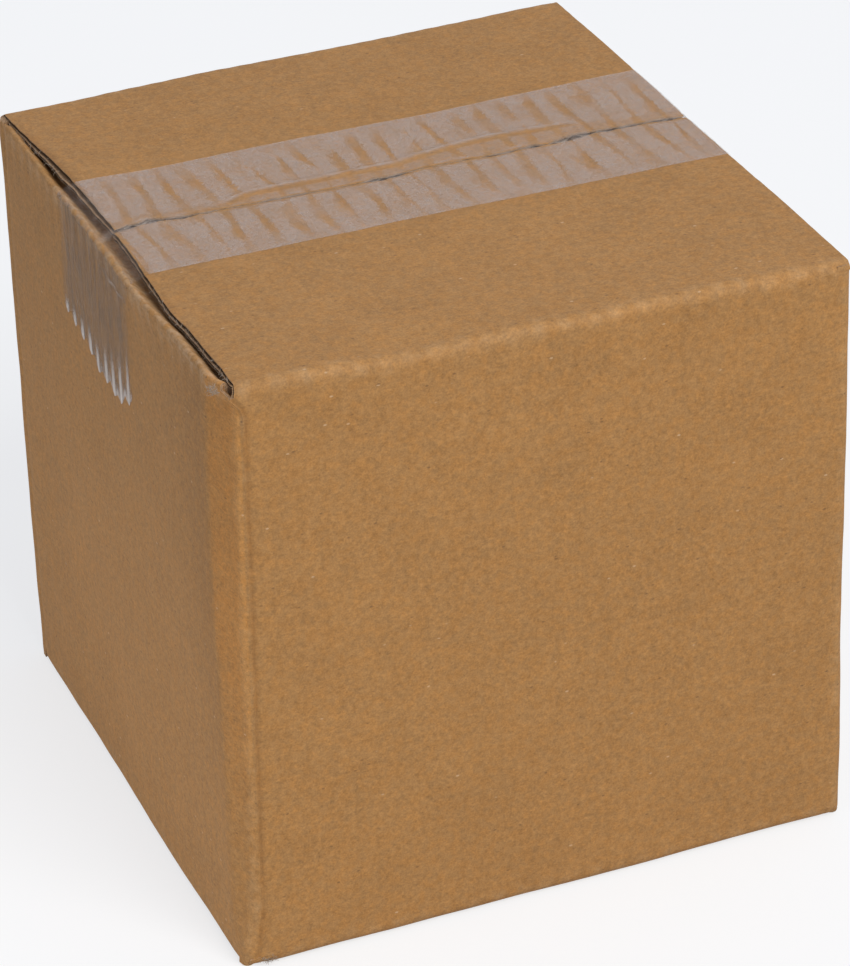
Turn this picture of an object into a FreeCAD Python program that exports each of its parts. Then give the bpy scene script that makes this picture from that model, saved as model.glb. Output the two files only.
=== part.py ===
import FreeCAD, Part
import math
import os
import Sketcher

# Corrugated shipping carton, folded and glued from one double-wall blank and
# taped shut. Millimetres, +Z up, origin under the middle of the box.
# X runs along the top seam, the large front panel faces -Y.

SIZES = {
    "outer_x": 152.4,          # along the seam, outside to outside
    "outer_y": 156.0,          # front panel to back panel
    "outer_z": 153.0,          # bottom flaps to top flaps
    "board": 3.6,              # double-wall board, five plies
    "liner": 0.45,             # outer, middle and inner paper plies
    "fold_radius": 3.2,        # outside of every scored fold
    "crease_radius": 0.8,      # inside of every scored fold
    "layer_gap": 0.3,          # air between the outer and the tucked flaps
    "major_inset": 3.0,        # flap side edge to the side panel's face
    "minor_clearance": 1.2,    # tucked flap side edge to the panel beside it
    "minor_reach": 74.0,       # side panel's face to the tucked flap's end
    "seam_offset": 4.5,        # seam behind the middle of the box
    "seam_gap": 1.2,           # opening between the two outer flaps
    "ply_depth": 2.2,          # open flute seen in a raw edge
    "slot_drop": 3.0,          # top of the box to the slots' roots
    "slot_lift": 1.0,          # bottom of the box to the slots' roots
    "heel_lift": 0.6,          # side panels' bottom fold above the bottom flaps' face
    "joint_setback": 1.8,      # back panel's raw edge to the right panel's face
    "tab_width": 32.0,         # glue tab, measured from the right panel inside
    "tab_end_gap": 9.0,        # tab's end to the fold above and below
    "tape_width": 50.0,
    "tape_film": 0.1,
    "tape_offset": 7.0,        # middle of the top tape behind the box middle
    "tape_hang_left": 36.5,    # tape end below the top, to the tooth tips
    "tape_hang_right": 38.0,
    "tape_skew": 4.0,          # degrees, lean of the torn end
    "tooth_pitch": 5.0,
    "bottom_tape_inset": 4.0,  # bottom tape's end to the side panel's face
}

# Heights where the panels' plain walls end, and side edges of both kinds of flap.
WALL_TOP = "outer_z - board - layer_gap - fold_radius"
WALL_FOOT = "heel_lift + fold_radius"
FLAP_EDGE = "outer_x / 2 - major_inset"
TUCK_EDGE = "outer_y / 2 - board - minor_clearance"


def make_sheet(doc):
    """Spreadsheet of driving sizes, one alias for each."""
    sheet = doc.addObject("Spreadsheet::Sheet", "sizes")
    for row, (name, value) in enumerate(SIZES.items(), start=1):
        sheet.set(f"A{row}", name)
        sheet.set(f"B{row}", str(value))
        sheet.setAlias(f"B{row}", name)
    doc.recompute()
    return sheet


def cell(text):
    """Expression text with every size name pointed at its cell."""
    words = []
    for word in text.split():
        words.append(f"sizes.{word}" if word in SIZES else word)
    return " ".join(words)


def value_of(sheet, text):
    """Number that an expression over the sizes gives."""
    return float(sheet.evalExpression(cell(text)))


def bind(target, prop, text):
    """Tie one property to an expression over the sizes."""
    target.setExpression(prop, cell(text))


def origin_plane(body, role):
    """Origin plane of a body, found by its role."""
    return [item for item in body.Origin.OriginFeatures if item.Role == role][0]


def attach(body, name, role):
    """Empty sketch on one of the body's origin planes."""
    sketch = body.newObject("Sketcher::SketchObject", name)
    sketch.AttachmentSupport = [(origin_plane(body, role), "")]
    sketch.MapMode = "FlatFace"
    return sketch


def add_datum(sketch, kind, text, *refs):
    """Dimension of a sketch, tied to an expression over the sizes."""
    sheet = sketch.Document.getObject("sizes")
    index = sketch.addConstraint(Sketcher.Constraint(kind, *refs, value_of(sheet, text)))
    bind(sketch, f"Constraints[{index}]", text)


def stepped_corners(sheet, edges):
    """Corner points of an outline whose edges are upright and level in turn."""
    values = [value_of(sheet, text) for text in edges]
    points = []
    for index, here in enumerate(values):
        after = values[(index + 1) % len(values)]
        upright = index % 2 == 0
        points.append(FreeCAD.Vector(here, after, 0) if upright else FreeCAD.Vector(after, here, 0))
    return points


def rounded_arc(corner, before, after, radius):
    """Arc that rounds a corner, and whether it runs with the outline."""
    back = (before - corner).normalize()
    ahead = (after - corner).normalize()
    centre = corner + (back + ahead) * radius
    start = corner + back * radius - centre
    end = corner + ahead * radius - centre
    with_outline = start.cross(end).z > 0
    first, last = (start, end) if with_outline else (end, start)
    x_axis = FreeCAD.Vector(1, 0, 0)
    angles = [FreeCAD.Vector(0, 0, 1).dot(x_axis.cross(ray)) for ray in (first, last)]
    begin = x_axis.getAngle(first) * (1 if angles[0] >= 0 else -1)
    finish = x_axis.getAngle(last) * (1 if angles[1] >= 0 else -1)
    circle = Part.Circle(centre, FreeCAD.Vector(0, 0, 1), radius)
    return Part.ArcOfCircle(circle, begin, finish), with_outline


def stepped_outline(sketch, edges, radii):
    """Closed outline of upright and level edges with some corners rounded.

    edges are the places of the edges, upright ones by x and level ones by y,
    in turn. radii[i] rounds the corner between edge i and the next one.
    """
    sheet = sketch.Document.getObject("sizes")
    corners = stepped_corners(sheet, edges)
    count = len(edges)
    lines = []
    for index in range(count):
        start = corners[index - 1]
        end = corners[index]
        lines.append(sketch.addGeometry(Part.LineSegment(start, end)))
    for index, text in enumerate(edges):
        upright = index % 2 == 0
        sketch.addConstraint(Sketcher.Constraint("Vertical" if upright else "Horizontal", lines[index]))
        add_datum(sketch, "DistanceX" if upright else "DistanceY", text, -1, 1, lines[index], 1)
    for index, text in enumerate(radii):
        here = lines[index]
        following = lines[(index + 1) % count]
        if text is None:
            sketch.addConstraint(Sketcher.Constraint("Coincident", here, 2, following, 1))
            continue
        after = corners[(index + 1) % count]
        arc, with_outline = rounded_arc(corners[index], corners[index - 1], after, value_of(sheet, text))
        bend = sketch.addGeometry(arc)
        ends = (1, 2) if with_outline else (2, 1)
        sketch.addConstraint(Sketcher.Constraint("Tangent", here, 2, bend, ends[0]))
        sketch.addConstraint(Sketcher.Constraint("Tangent", bend, ends[1], following, 1))
        add_datum(sketch, "Radius", text, bend)


def pad_both_ways(body, sketch, name, length):
    """Pad centred on the sketch plane."""
    pad = body.newObject("PartDesign::Pad", name)
    pad.Profile = sketch
    pad.SideType = "Symmetric"
    bind(pad, "Length", length)
    return pad


def pad_between(body, sketch, name, low, high):
    """Upright pad from one height to another."""
    bind(sketch, "AttachmentOffset.Base.z", low)
    pad = body.newObject("PartDesign::Pad", name)
    pad.Profile = sketch
    bind(pad, "Length", f"{high} - ( {low} )")
    return pad


def add_wall_ring(body):
    """Four upright panels; the back one laps over the fold of the glue tab."""
    sketch = attach(body, "wall_ring_outline", "XY_Plane")
    outside = ["-1 * outer_x / 2", "-1 * outer_y / 2", "outer_x / 2", "outer_y / 2 - board",
               "outer_x / 2 - joint_setback", "outer_y / 2"]
    stepped_outline(sketch, outside, ["fold_radius", "fold_radius", "crease_radius", None, None, "fold_radius"])
    inside = ["board - outer_x / 2", "board - outer_y / 2", "outer_x / 2 - board", "outer_y / 2 - board"]
    stepped_outline(sketch, inside, ["crease_radius"] * 4)
    return pad_between(body, sketch, "wall_ring", WALL_FOOT, WALL_TOP)


def add_corner_posts(body, name, low, high):
    """Ends of the three scored corners, between the slots that part the flaps."""
    sketch = attach(body, f"{name}_outline", "XY_Plane")
    for x_side, y_side in ((-1, -1), (1, -1), (-1, 1)):
        edges = [f"{x_side} * outer_x / 2", f"{y_side} * outer_y / 2",
                 f"{x_side} * ( {FLAP_EDGE} - crease_radius )", f"{y_side} * ( {TUCK_EDGE} )"]
        stepped_outline(sketch, edges, ["fold_radius", None, None, None])
    return pad_between(body, sketch, name, low, high)


def add_major_flaps(body):
    """Front and back panels with the outer flaps folded from them."""
    sketch = attach(body, "major_fold_outline", "YZ_Plane")
    radii = ["fold_radius", None, None, "crease_radius", "crease_radius", None, None, "fold_radius"]
    front = ["-1 * outer_y / 2", "outer_z", "seam_offset - seam_gap / 2", "outer_z - board",
             "board - outer_y / 2", "board", "seam_offset - seam_gap / 2", "0"]
    back = ["outer_y / 2", "outer_z", "seam_offset + seam_gap / 2", "outer_z - board",
            "outer_y / 2 - board", "board", "seam_offset + seam_gap / 2", "0"]
    stepped_outline(sketch, front, radii)
    stepped_outline(sketch, back, radii)
    return pad_both_ways(body, sketch, "major_flaps", f"2 * ( {FLAP_EDGE} )")


def add_minor_flaps(body):
    """Side panels with the tucked flaps, one board further in.

    At the bottom the panel itself runs down past the outer flaps' edges.
    """
    sketch = attach(body, "minor_fold_outline", "XZ_Plane")
    radii = ["fold_radius", None, None, "crease_radius", "crease_radius", None, None, "crease_radius",
             None, "fold_radius"]
    top = "outer_z - board - layer_gap"
    low = "board + layer_gap"
    left = ["-1 * outer_x / 2", top, "minor_reach - outer_x / 2", f"{top} - board",
            "board - outer_x / 2", f"{low} + board", "minor_reach - outer_x / 2", low,
            "board - outer_x / 2", "heel_lift"]
    right = ["outer_x / 2", top, "outer_x / 2 - minor_reach", f"{top} - board",
             "outer_x / 2 - board", f"{low} + board", "outer_x / 2 - minor_reach", low,
             "outer_x / 2 - board", "heel_lift"]
    stepped_outline(sketch, left, radii)
    stepped_outline(sketch, right, radii)
    return pad_both_ways(body, sketch, "minor_flaps", f"2 * ( {TUCK_EDGE} )")


def add_glue_tab(body):
    """Tab of the right panel, glued to the inside of the back panel."""
    sketch = attach(body, "glue_tab_outline", "XY_Plane")
    edges = ["outer_x / 2 - board - tab_width", "outer_y / 2 - board", "outer_x / 2 - board",
             "outer_y / 2 - 2 * board"]
    stepped_outline(sketch, edges, [None] * 4)
    low = "2 * board + layer_gap + tab_end_gap"
    return pad_between(body, sketch, "glue_tab", low, f"outer_z - ( {low} )")


def ply_channels(low, high):
    """Places of the two open flutes between three paper plies."""
    flute = "( board - 3 * liner ) / 2"
    first = (f"{low} + liner", f"{low} + liner + {flute}")
    second = (f"{high} - liner - {flute}", f"{high} - liner")
    return first, second


def cut_through(body, sketch, name, length):
    """Pocket centred on the sketch plane that has to remove material."""
    body.Document.recompute()
    before = body.Shape.Volume
    pocket = body.newObject("PartDesign::Pocket", name)
    pocket.Profile = sketch
    pocket.SideType = "Symmetric"
    bind(pocket, "Length", length)
    body.Document.recompute()
    if body.Shape.Volume >= before:
        raise RuntimeError(f"{name} removes nothing")
    return pocket


def cut_flap_edges(body):
    """Open flutes along the side edges of the top's outer flaps."""
    sketch = attach(body, "flap_edge_channels", "XZ_Plane")
    for low, high in ply_channels("outer_z - board", "outer_z"):
        for side in (-1, 1):
            edges = [f"{side} * ( {FLAP_EDGE} )", high, f"{side} * ( {FLAP_EDGE} - ply_depth )", low]
            stepped_outline(sketch, edges, [None] * 4)
    return cut_through(body, sketch, "flap_edge_plies", "outer_y - 2 * ( fold_radius + board )")


def cut_joint_edge(body):
    """Open flutes in the raw edge of the back panel at the glued joint."""
    sketch = attach(body, "joint_edge_channels", "XY_Plane")
    bind(sketch, "AttachmentOffset.Base.z", "outer_z / 2")
    edge = "outer_x / 2 - joint_setback"
    for low, high in ply_channels("outer_y / 2 - board", "outer_y / 2"):
        stepped_outline(sketch, [f"{edge} - ply_depth", high, edge, low], [None] * 4)
    return cut_through(body, sketch, "joint_edge_plies", "outer_z - 2 * ( board + layer_gap + fold_radius )")


def make_box_blank(doc):
    """The whole folded and glued blank as one solid."""
    body = doc.addObject("PartDesign::Body", "box_blank_body")
    body.Label = "box_blank"
    bind(body, "Placement.Base.z", "tape_film")
    add_wall_ring(body)
    add_corner_posts(body, "top_slot_roots", WALL_TOP, "outer_z - slot_drop")
    add_corner_posts(body, "bottom_slot_roots", "slot_lift", WALL_FOOT)
    add_major_flaps(body)
    add_minor_flaps(body)
    add_glue_tab(body)
    cut_flap_edges(body)
    body.Tip = cut_joint_edge(body)
    return body


def add_tape_side(sketch, side, hang):
    """One side of the tape's line, up the side panel, round the tucked fold to the outer flap.

    side is -1 for the left panel and 1 for the right one. Returns the sloping line.
    """
    sheet = sketch.Document.getObject("sizes")
    radius = value_of(sheet, "fold_radius")
    face = side * value_of(sheet, "outer_x / 2")
    low = value_of(sheet, tape_low(hang))
    hub = FreeCAD.Vector(face - side * radius, value_of(sheet, WALL_TOP), 0)
    flap_edge = FreeCAD.Vector(side * value_of(sheet, FLAP_EDGE), value_of(sheet, "outer_z"), 0)
    reach = flap_edge - hub
    lean = math.atan2(reach.y, side * reach.x) - math.acos(radius / reach.Length)
    touch = hub + FreeCAD.Vector(side * math.cos(lean), math.sin(lean), 0) * radius
    turn = (0, lean) if side > 0 else (math.pi - lean, math.pi)
    rise = sketch.addGeometry(Part.LineSegment(FreeCAD.Vector(face, low, 0), FreeCAD.Vector(face, hub.y, 0)))
    bend = sketch.addGeometry(Part.ArcOfCircle(Part.Circle(hub, FreeCAD.Vector(0, 0, 1), radius), *turn))
    slope = sketch.addGeometry(Part.LineSegment(touch, flap_edge))
    ends = (1, 2) if side > 0 else (2, 1)
    sketch.addConstraint(Sketcher.Constraint("Vertical", rise))
    sketch.addConstraint(Sketcher.Constraint("Tangent", rise, 2, bend, ends[0]))
    sketch.addConstraint(Sketcher.Constraint("Tangent", bend, ends[1], slope, 1))
    add_datum(sketch, "DistanceX", f"{side} * outer_x / 2", -1, 1, rise, 1)
    add_datum(sketch, "DistanceY", tape_low(hang), -1, 1, rise, 1)
    add_datum(sketch, "DistanceY", WALL_TOP, -1, 1, rise, 2)
    add_datum(sketch, "Radius", "fold_radius", bend)
    return slope


def tape_low(hang):
    """Height of the uncut tape's lower end, one tooth below its torn tips."""
    return f"outer_z - {hang} - tooth_pitch"


def make_tape_band(doc):
    """Uncut band of the top tape, one film thick along its line."""
    sheet = doc.getObject("sizes")
    sketch = doc.addObject("Sketcher::SketchObject", "top_tape_line")
    left = add_tape_side(sketch, -1, "tape_hang_left")
    right = add_tape_side(sketch, 1, "tape_hang_right")
    edge = value_of(sheet, FLAP_EDGE)
    top = value_of(sheet, "outer_z")
    flat = sketch.addGeometry(Part.LineSegment(FreeCAD.Vector(-edge, top, 0), FreeCAD.Vector(edge, top, 0)))
    sketch.addConstraint(Sketcher.Constraint("Horizontal", flat))
    sketch.addConstraint(Sketcher.Constraint("Coincident", left, 2, flat, 1))
    sketch.addConstraint(Sketcher.Constraint("Coincident", right, 2, flat, 2))
    add_datum(sketch, "DistanceX", f"-1 * ( {FLAP_EDGE} )", -1, 1, flat, 1)
    add_datum(sketch, "DistanceX", FLAP_EDGE, -1, 1, flat, 2)
    add_datum(sketch, "DistanceY", "outer_z", -1, 1, flat, 1)
    sketch.Placement = FreeCAD.Placement(FreeCAD.Vector(), FreeCAD.Rotation(FreeCAD.Vector(1, 0, 0), 90))
    bind(sketch, "Placement.Base.y", "tape_offset")
    bind(sketch, "Placement.Base.z", "tape_film")
    doc.recompute()
    section = doc.addObject("Part::Offset2D", "top_tape_section")
    section.Source = sketch
    section.Mode = "Skin"
    section.Join = "Intersection"
    section.Fill = True
    bind(section, "Value", "tape_film")
    band = doc.addObject("Part::Extrusion", "top_tape_band")
    band.Base = section
    band.DirMode = "Normal"
    band.Solid = True
    band.Symmetric = True
    bind(band, "LengthFwd", "tape_width")
    return band


def make_torn_end(doc, name):
    """Cutter for a torn tape end: a block below the tooth tips, notched up between them.

    The tape runs up from it along Z, its film lies in the YZ plane.
    """
    sheet = doc.getObject("sizes")
    pitch = value_of(sheet, "tooth_pitch")
    half_width = value_of(sheet, "tape_width / 2")
    count = math.ceil(half_width / pitch) + 1
    points = [FreeCAD.Vector(0, -count * pitch, -2 * pitch)]
    for index in range(-count, count):
        points.append(FreeCAD.Vector(0, index * pitch, 0))
        points.append(FreeCAD.Vector(0, (index + 0.5) * pitch, pitch / 2))
    points.append(FreeCAD.Vector(0, count * pitch, 0))
    points.append(FreeCAD.Vector(0, count * pitch, -2 * pitch))
    outline = doc.addObject("Part::Polygon", f"{name}_teeth")
    outline.Nodes = points
    outline.Close = True
    cutter = doc.addObject("Part::Extrusion", name)
    cutter.Base = outline
    cutter.DirMode = "Custom"
    cutter.Dir = FreeCAD.Vector(1, 0, 0)
    cutter.Solid = True
    cutter.Symmetric = True
    bind(cutter, "LengthFwd", "fold_radius")
    return cutter


def cut_away(doc, label, base, tool):
    """Part of a piece that is left when a cutter is taken from it."""
    cut = doc.addObject("Part::Cut", label)
    cut.Base = base
    cut.Tool = tool
    return cut


def make_top_tape(doc):
    """Tape along the top seam, torn to a row of teeth on both side panels."""
    piece = make_tape_band(doc)
    for side, word in ((-1, "left"), (1, "right")):
        cutter = make_torn_end(doc, f"top_tape_{word}_end")
        cutter.Placement.Rotation = FreeCAD.Rotation(FreeCAD.Vector(1, 0, 0), 1)
        bind(cutter, "Placement.Rotation.Angle", "tape_skew * 1 deg")
        bind(cutter, "Placement.Base.x", f"{side} * outer_x / 2")
        bind(cutter, "Placement.Base.y", "tape_offset")
        bind(cutter, "Placement.Base.z", f"tape_film + outer_z - tape_hang_{word}")
        piece = cut_away(doc, f"top_tape_{word}_cut", piece, cutter)
    piece.Label = "top_tape"
    return piece


def make_bottom_tape(doc):
    """Tape along the bottom seam, flat under the outer flaps."""
    band = doc.addObject("Part::Box", "bottom_tape_band")
    bind(band, "Length", "outer_x")
    bind(band, "Width", "tape_width")
    bind(band, "Height", "tape_film")
    bind(band, "Placement.Base.x", "-1 * outer_x / 2")
    bind(band, "Placement.Base.y", "seam_offset - tape_width / 2")
    piece = band
    for side, word in ((-1, "left"), (1, "right")):
        cutter = make_torn_end(doc, f"bottom_tape_{word}_end")
        cutter.Placement.Rotation = FreeCAD.Rotation(FreeCAD.Vector(0, 1, 0), -90 * side)
        bind(cutter, "Placement.Base.x", f"{side} * ( outer_x / 2 - bottom_tape_inset )")
        bind(cutter, "Placement.Base.y", "seam_offset")
        piece = cut_away(doc, f"bottom_tape_{word}_cut", piece, cutter)
    piece.Label = "bottom_tape"
    return piece


def check_document(doc, pieces):
    """Stop where an object failed or a piece's shape isn't one sound solid."""
    for item in doc.Objects:
        if "Invalid" in item.State or "Error" in item.State:
            raise RuntimeError(f"{item.Name} failed: {item.State}")
    for piece in pieces:
        if piece.Shape.isNull() or not piece.Shape.isValid():
            raise RuntimeError(f"{piece.Label} has no sound shape")
        if len(piece.Shape.Solids) != 1:
            raise RuntimeError(f"{piece.Label} has {len(piece.Shape.Solids)} solids")


def main():
    doc = FreeCAD.newDocument("carton")
    make_sheet(doc)
    pieces = [make_box_blank(doc), make_top_tape(doc), make_bottom_tape(doc)]
    doc.recompute()
    check_document(doc, pieces)
    os.makedirs("parts", exist_ok=True)
    for piece in pieces:
        piece.Shape.exportStep(f"parts/{piece.Label}.step")
        box = piece.Shape.BoundBox
        print(piece.Label, round(piece.Shape.Volume), box)


main()
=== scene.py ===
import math

import bpy
from bpy.props import FloatProperty, FloatVectorProperty, PointerProperty
from bpy.types import Operator, Panel, PropertyGroup
from mathutils import Matrix, Vector, noise


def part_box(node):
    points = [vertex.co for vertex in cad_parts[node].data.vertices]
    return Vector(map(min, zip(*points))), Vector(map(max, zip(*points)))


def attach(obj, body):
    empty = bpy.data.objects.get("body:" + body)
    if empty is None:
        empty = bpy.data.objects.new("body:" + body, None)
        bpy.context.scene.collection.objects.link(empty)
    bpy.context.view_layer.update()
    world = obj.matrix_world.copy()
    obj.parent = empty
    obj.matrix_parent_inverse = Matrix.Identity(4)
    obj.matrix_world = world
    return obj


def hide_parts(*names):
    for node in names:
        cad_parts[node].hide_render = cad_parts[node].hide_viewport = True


bl_info = {
    "name": "Taped carton",
    "version": (1, 0, 0),
    "blender": (4, 5, 0),
    "location": "3D View > Sidebar > Carton",
    "description": "Folded, glued and taped double-wall carton with its finishes and stage",
    "category": "Object",
}

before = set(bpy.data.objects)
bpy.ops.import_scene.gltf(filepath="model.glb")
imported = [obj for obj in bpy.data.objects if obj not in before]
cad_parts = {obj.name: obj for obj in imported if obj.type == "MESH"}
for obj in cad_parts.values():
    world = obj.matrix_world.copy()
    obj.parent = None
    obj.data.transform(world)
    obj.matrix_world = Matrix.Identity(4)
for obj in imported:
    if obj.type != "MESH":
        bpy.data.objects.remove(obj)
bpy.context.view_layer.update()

MM = 0.001

# Shape of the real carton, in millimetres: line of the top seam as (x, y).
SEAM_LINE = ((-72.7, 3.8), (-62.3, 5.8), (-55.5, 4.3), (-45.8, 4.4), (-36.0, 4.1), (-26.2, 3.9),
             (-20.2, 3.4), (-8.9, 3.5), (-1.2, 4.0), (6.8, 5.0), (17.0, 5.0), (24.5, 4.5), (33.7, 5.0),
             (39.9, 4.6), (48.2, 5.6), (63.9, 5.6), (73.1, 4.4))
# Opening of the top seam as (x, width).
SEAM_OPENING = ((-76, 1.5), (-67, 2.4), (-57, 2.3), (-52, 1.5), (-47, 1.2), (-44, 0.4), (-35, 0.35),
                (-32, 0.9), (-19, 0.8), (-16, 0.4), (-10, 0.5), (-8, 2.0), (-2, 1.9), (1, 0.8), (12, 0.6),
                (25, 0.8), (33, 1.9), (48, 1.9), (52, 1.0), (58, 1.9), (64, 1.2), (76, 1.0))
# Raised crease behind the seam as (x, y).
CREASE_LINE = ((-44.0, 7.0), (-36.5, 10.0), (-19.1, 9.9), (0.9, 10.1), (8.3, 12.0), (20.2, 13.7),
               (29.5, 14.2), (39.9, 13.1))
# Left side edges of the outer flaps as (y, x).
REAR_FLAP_EDGE = ((6.0, -71.2), (22.0, -71.4), (32.0, -71.9), (42.0, -72.5), (54.0, -73.4), (69.0, -74.2))
FRONT_FLAP_EDGE = ((-78.0, -73.5), (-76.0, -73.2), (-72.0, -72.9), (-66.0, -72.9), (-61.5, -73.05),
                   (-48.5, -73.1), (-41.0, -73.6), (-35.0, -73.5), (-28.0, -73.1), (-21.0, -72.8),
                   (-13.0, -72.3), (-4.0, -71.9))
# How far the middle ply of those edges sticks out as (y, width).
LEFT_JUT = ((-72, 0.3), (-60, 0.5), (-40, 0.5), (-20, 0.4), (3, 0.3), (8, 0.6), (20, 1.1), (34, 1.2),
            (52, 0.6), (67, 0.3))
# Height of the left panel's top fold as (y, z).
LEFT_CREST = ((-69, 151.4), (-61, 152.2), (-36, 152.3), (-23, 151.8), (-9, 151.3), (4, 151.3), (15, 152.0),
              (24, 152.2), (40, 152.1), (49, 152.9), (58, 153.0), (66, 153.1))
# How far that fold leans out as (y, width).
LEFT_LEAN = ((-64, 0.0), (-57, 0.3), (-47, 0.3), (-40, 0.8), (-33, 1.2), (-22, 1.1), (-12, 0.4), (-4, 0.0))
# Torn end of the top tape on the left panel as (y, z).
TORN_LEFT = ((-15.8, 117.9), (-13.1, 117.3), (-9.5, 115.8), (-5.7, 113.8), (1.0, 115.4), (6.8, 114.9),
             (13.3, 118.1), (23.5, 120.3), (32.8, 122.4))
# Heights from which the flutes ripple the top of the walls, and where the ripple is full.
RIPPLE_FROM, RIPPLE_FULL = 138.0, 151.0
# The front left upright fold: rear line of its flattened facet at the top, how much further back that
# line is at the bottom, and the crease beside the fold on the front panel.
FACET_REAR, FACET_TAPER, FRONT_CREASE = -65.8, 5.0, -72.6
# Part of the box where the folded sheet is crushed round the front left corner.
CORNER_X, CORNER_Y = -72.0, -73.0


def smooth(low, high, value):
    """Ease from 0 at low to 1 at high."""
    part = min(1.0, max(0.0, (value - low) / (high - low)))
    return part * part * (3 - 2 * part)


def bell(value, width):
    """Rounded bump of height 1 about 0."""
    return math.exp(-((value / width) ** 2))


def along(table, value):
    """Amount at a place in a table of (place, amount) pairs."""
    if value <= table[0][0]:
        return table[0][1]
    for (low, first), (high, last) in zip(table, table[1:]):
        if value <= high:
            return first + (last - first) * (value - low) / (high - low)
    return table[-1][1]


class CartonBoard(PropertyGroup):
    """Sizes of the board, its folds and its flaps."""

    board: FloatProperty(name="Board", description="Thickness of the double-wall board",
                         default=3.6 * MM, unit="LENGTH")
    liner: FloatProperty(name="Liner", description="Thickness of one paper ply",
                         default=0.45 * MM, unit="LENGTH")
    corner_radius: FloatProperty(name="Corner radius", description="Outside radius of the upright folds",
                                 default=3.0 * MM, unit="LENGTH")
    flap_radius: FloatProperty(name="Flap radius", description="Outside radius of the top flaps' folds",
                               default=2.4 * MM, unit="LENGTH")
    foot_radius: FloatProperty(name="Foot radius", description="Outside radius of the bottom flaps' folds",
                               default=3.2 * MM, unit="LENGTH")
    flute_pitch: FloatProperty(name="Flute pitch", description="Distance between two flutes",
                               default=6.2 * MM, unit="LENGTH")
    flap_inset: FloatProperty(name="Flap inset", description="Outer flap's side edge to the panel's corner",
                              default=4.2 * MM, unit="LENGTH")
    tuck_inset: FloatProperty(name="Tuck inset", description="Tucked flap's side edge to its panel's corner",
                              default=4.8 * MM, unit="LENGTH")
    tuck_reach: FloatProperty(name="Tuck reach", description="Length of a tucked flap from its panel",
                              default=74.0 * MM, unit="LENGTH")
    tuck_crest: FloatProperty(name="Tuck crest", description="Top of the box down to the tucked flaps' fold",
                              default=0.8 * MM, unit="LENGTH")
    heel_lift: FloatProperty(name="Heel lift", description="Bottom of the box up to the side panels' fold",
                             default=0.6 * MM, unit="LENGTH")
    seam_offset: FloatProperty(name="Seam offset", description="Seam behind the box's middle",
                               default=4.5 * MM, unit="LENGTH")
    seam_gap: FloatProperty(name="Seam gap", description="Opening between the outer flaps",
                            default=1.0 * MM, unit="LENGTH")
    joint_setback: FloatProperty(name="Joint setback", description="Back panel's raw edge to the corner",
                                 default=1.8 * MM, unit="LENGTH")
    tab_width: FloatProperty(name="Tab width", description="Width of the glued tab",
                             default=32.0 * MM, unit="LENGTH")
    ply_depth: FloatProperty(name="Ply depth", description="How deep the raw edges show open flutes",
                             default=1.1 * MM, unit="LENGTH")
    mesh_step: FloatProperty(name="Mesh step", description="Spacing of the sheet's grid on the seen sides",
                             default=2.0 * MM, unit="LENGTH")


class CartonTape(PropertyGroup):
    """Sizes of the packing film."""

    film: FloatProperty(name="Film", description="Thickness of the film", default=0.1 * MM, unit="LENGTH")
    width: FloatProperty(name="Width", description="Width of the film", default=50.0 * MM, unit="LENGTH")
    teeth: FloatProperty(name="Teeth", description="Pitch of the cutter's teeth",
                         default=5.3 * MM, unit="LENGTH")
    hang_right: FloatProperty(name="Hang", description="Length of the film's hidden end on the right panel",
                              default=38.0 * MM, unit="LENGTH")
    mesh_step: FloatProperty(name="Mesh step", description="Spacing of the film's grid",
                             default=1.0 * MM, unit="LENGTH")


class CartonLook(PropertyGroup):
    """Colours of the paper and the film."""

    kraft: FloatVectorProperty(name="Kraft", description="Colour of the outer liner", subtype="COLOR",
                               default=(0.39, 0.195, 0.061), min=0, max=1)
    # Paler colour on the folds: partly rubbed liner, partly a painted highlight on the rounded folds and the
    # left panel's shoulder.
    rubbed_and_highlit: FloatVectorProperty(name="Worn", description="Colour of the liner where folds are rubbed",
                              subtype="COLOR", default=(0.49, 0.29, 0.13), min=0, max=1)
    raw: FloatVectorProperty(name="Raw edge", description="Colour of the cut plies", subtype="COLOR",
                             default=(0.40, 0.25, 0.14), min=0, max=1)
    haze: FloatVectorProperty(name="Haze", description="Colour of the film where air is trapped under it",
                              subtype="COLOR", default=(0.68, 0.56, 0.48), min=0, max=1)


class CartonStage(PropertyGroup):
    """Camera, floor and lights."""

    focal_px: FloatProperty(name="Focal length", description="Focal length in pixels of the photo",
                            default=4460.9)
    key_power: FloatProperty(name="Key", description="Power of the main soft light in watts",
                             default=26.0)
    low_power: FloatProperty(name="Low", description="Power of the light off the floor at the left in watts",
                             default=0.064)
    sky: FloatProperty(name="Sky", description="Strength of the light from all around", default=0.455)


class CartonSettings(PropertyGroup):
    """All the settings of the carton."""

    board: PointerProperty(type=CartonBoard)
    tape: PointerProperty(type=CartonTape)
    look: PointerProperty(type=CartonLook)
    stage: PointerProperty(type=CartonStage)


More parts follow.
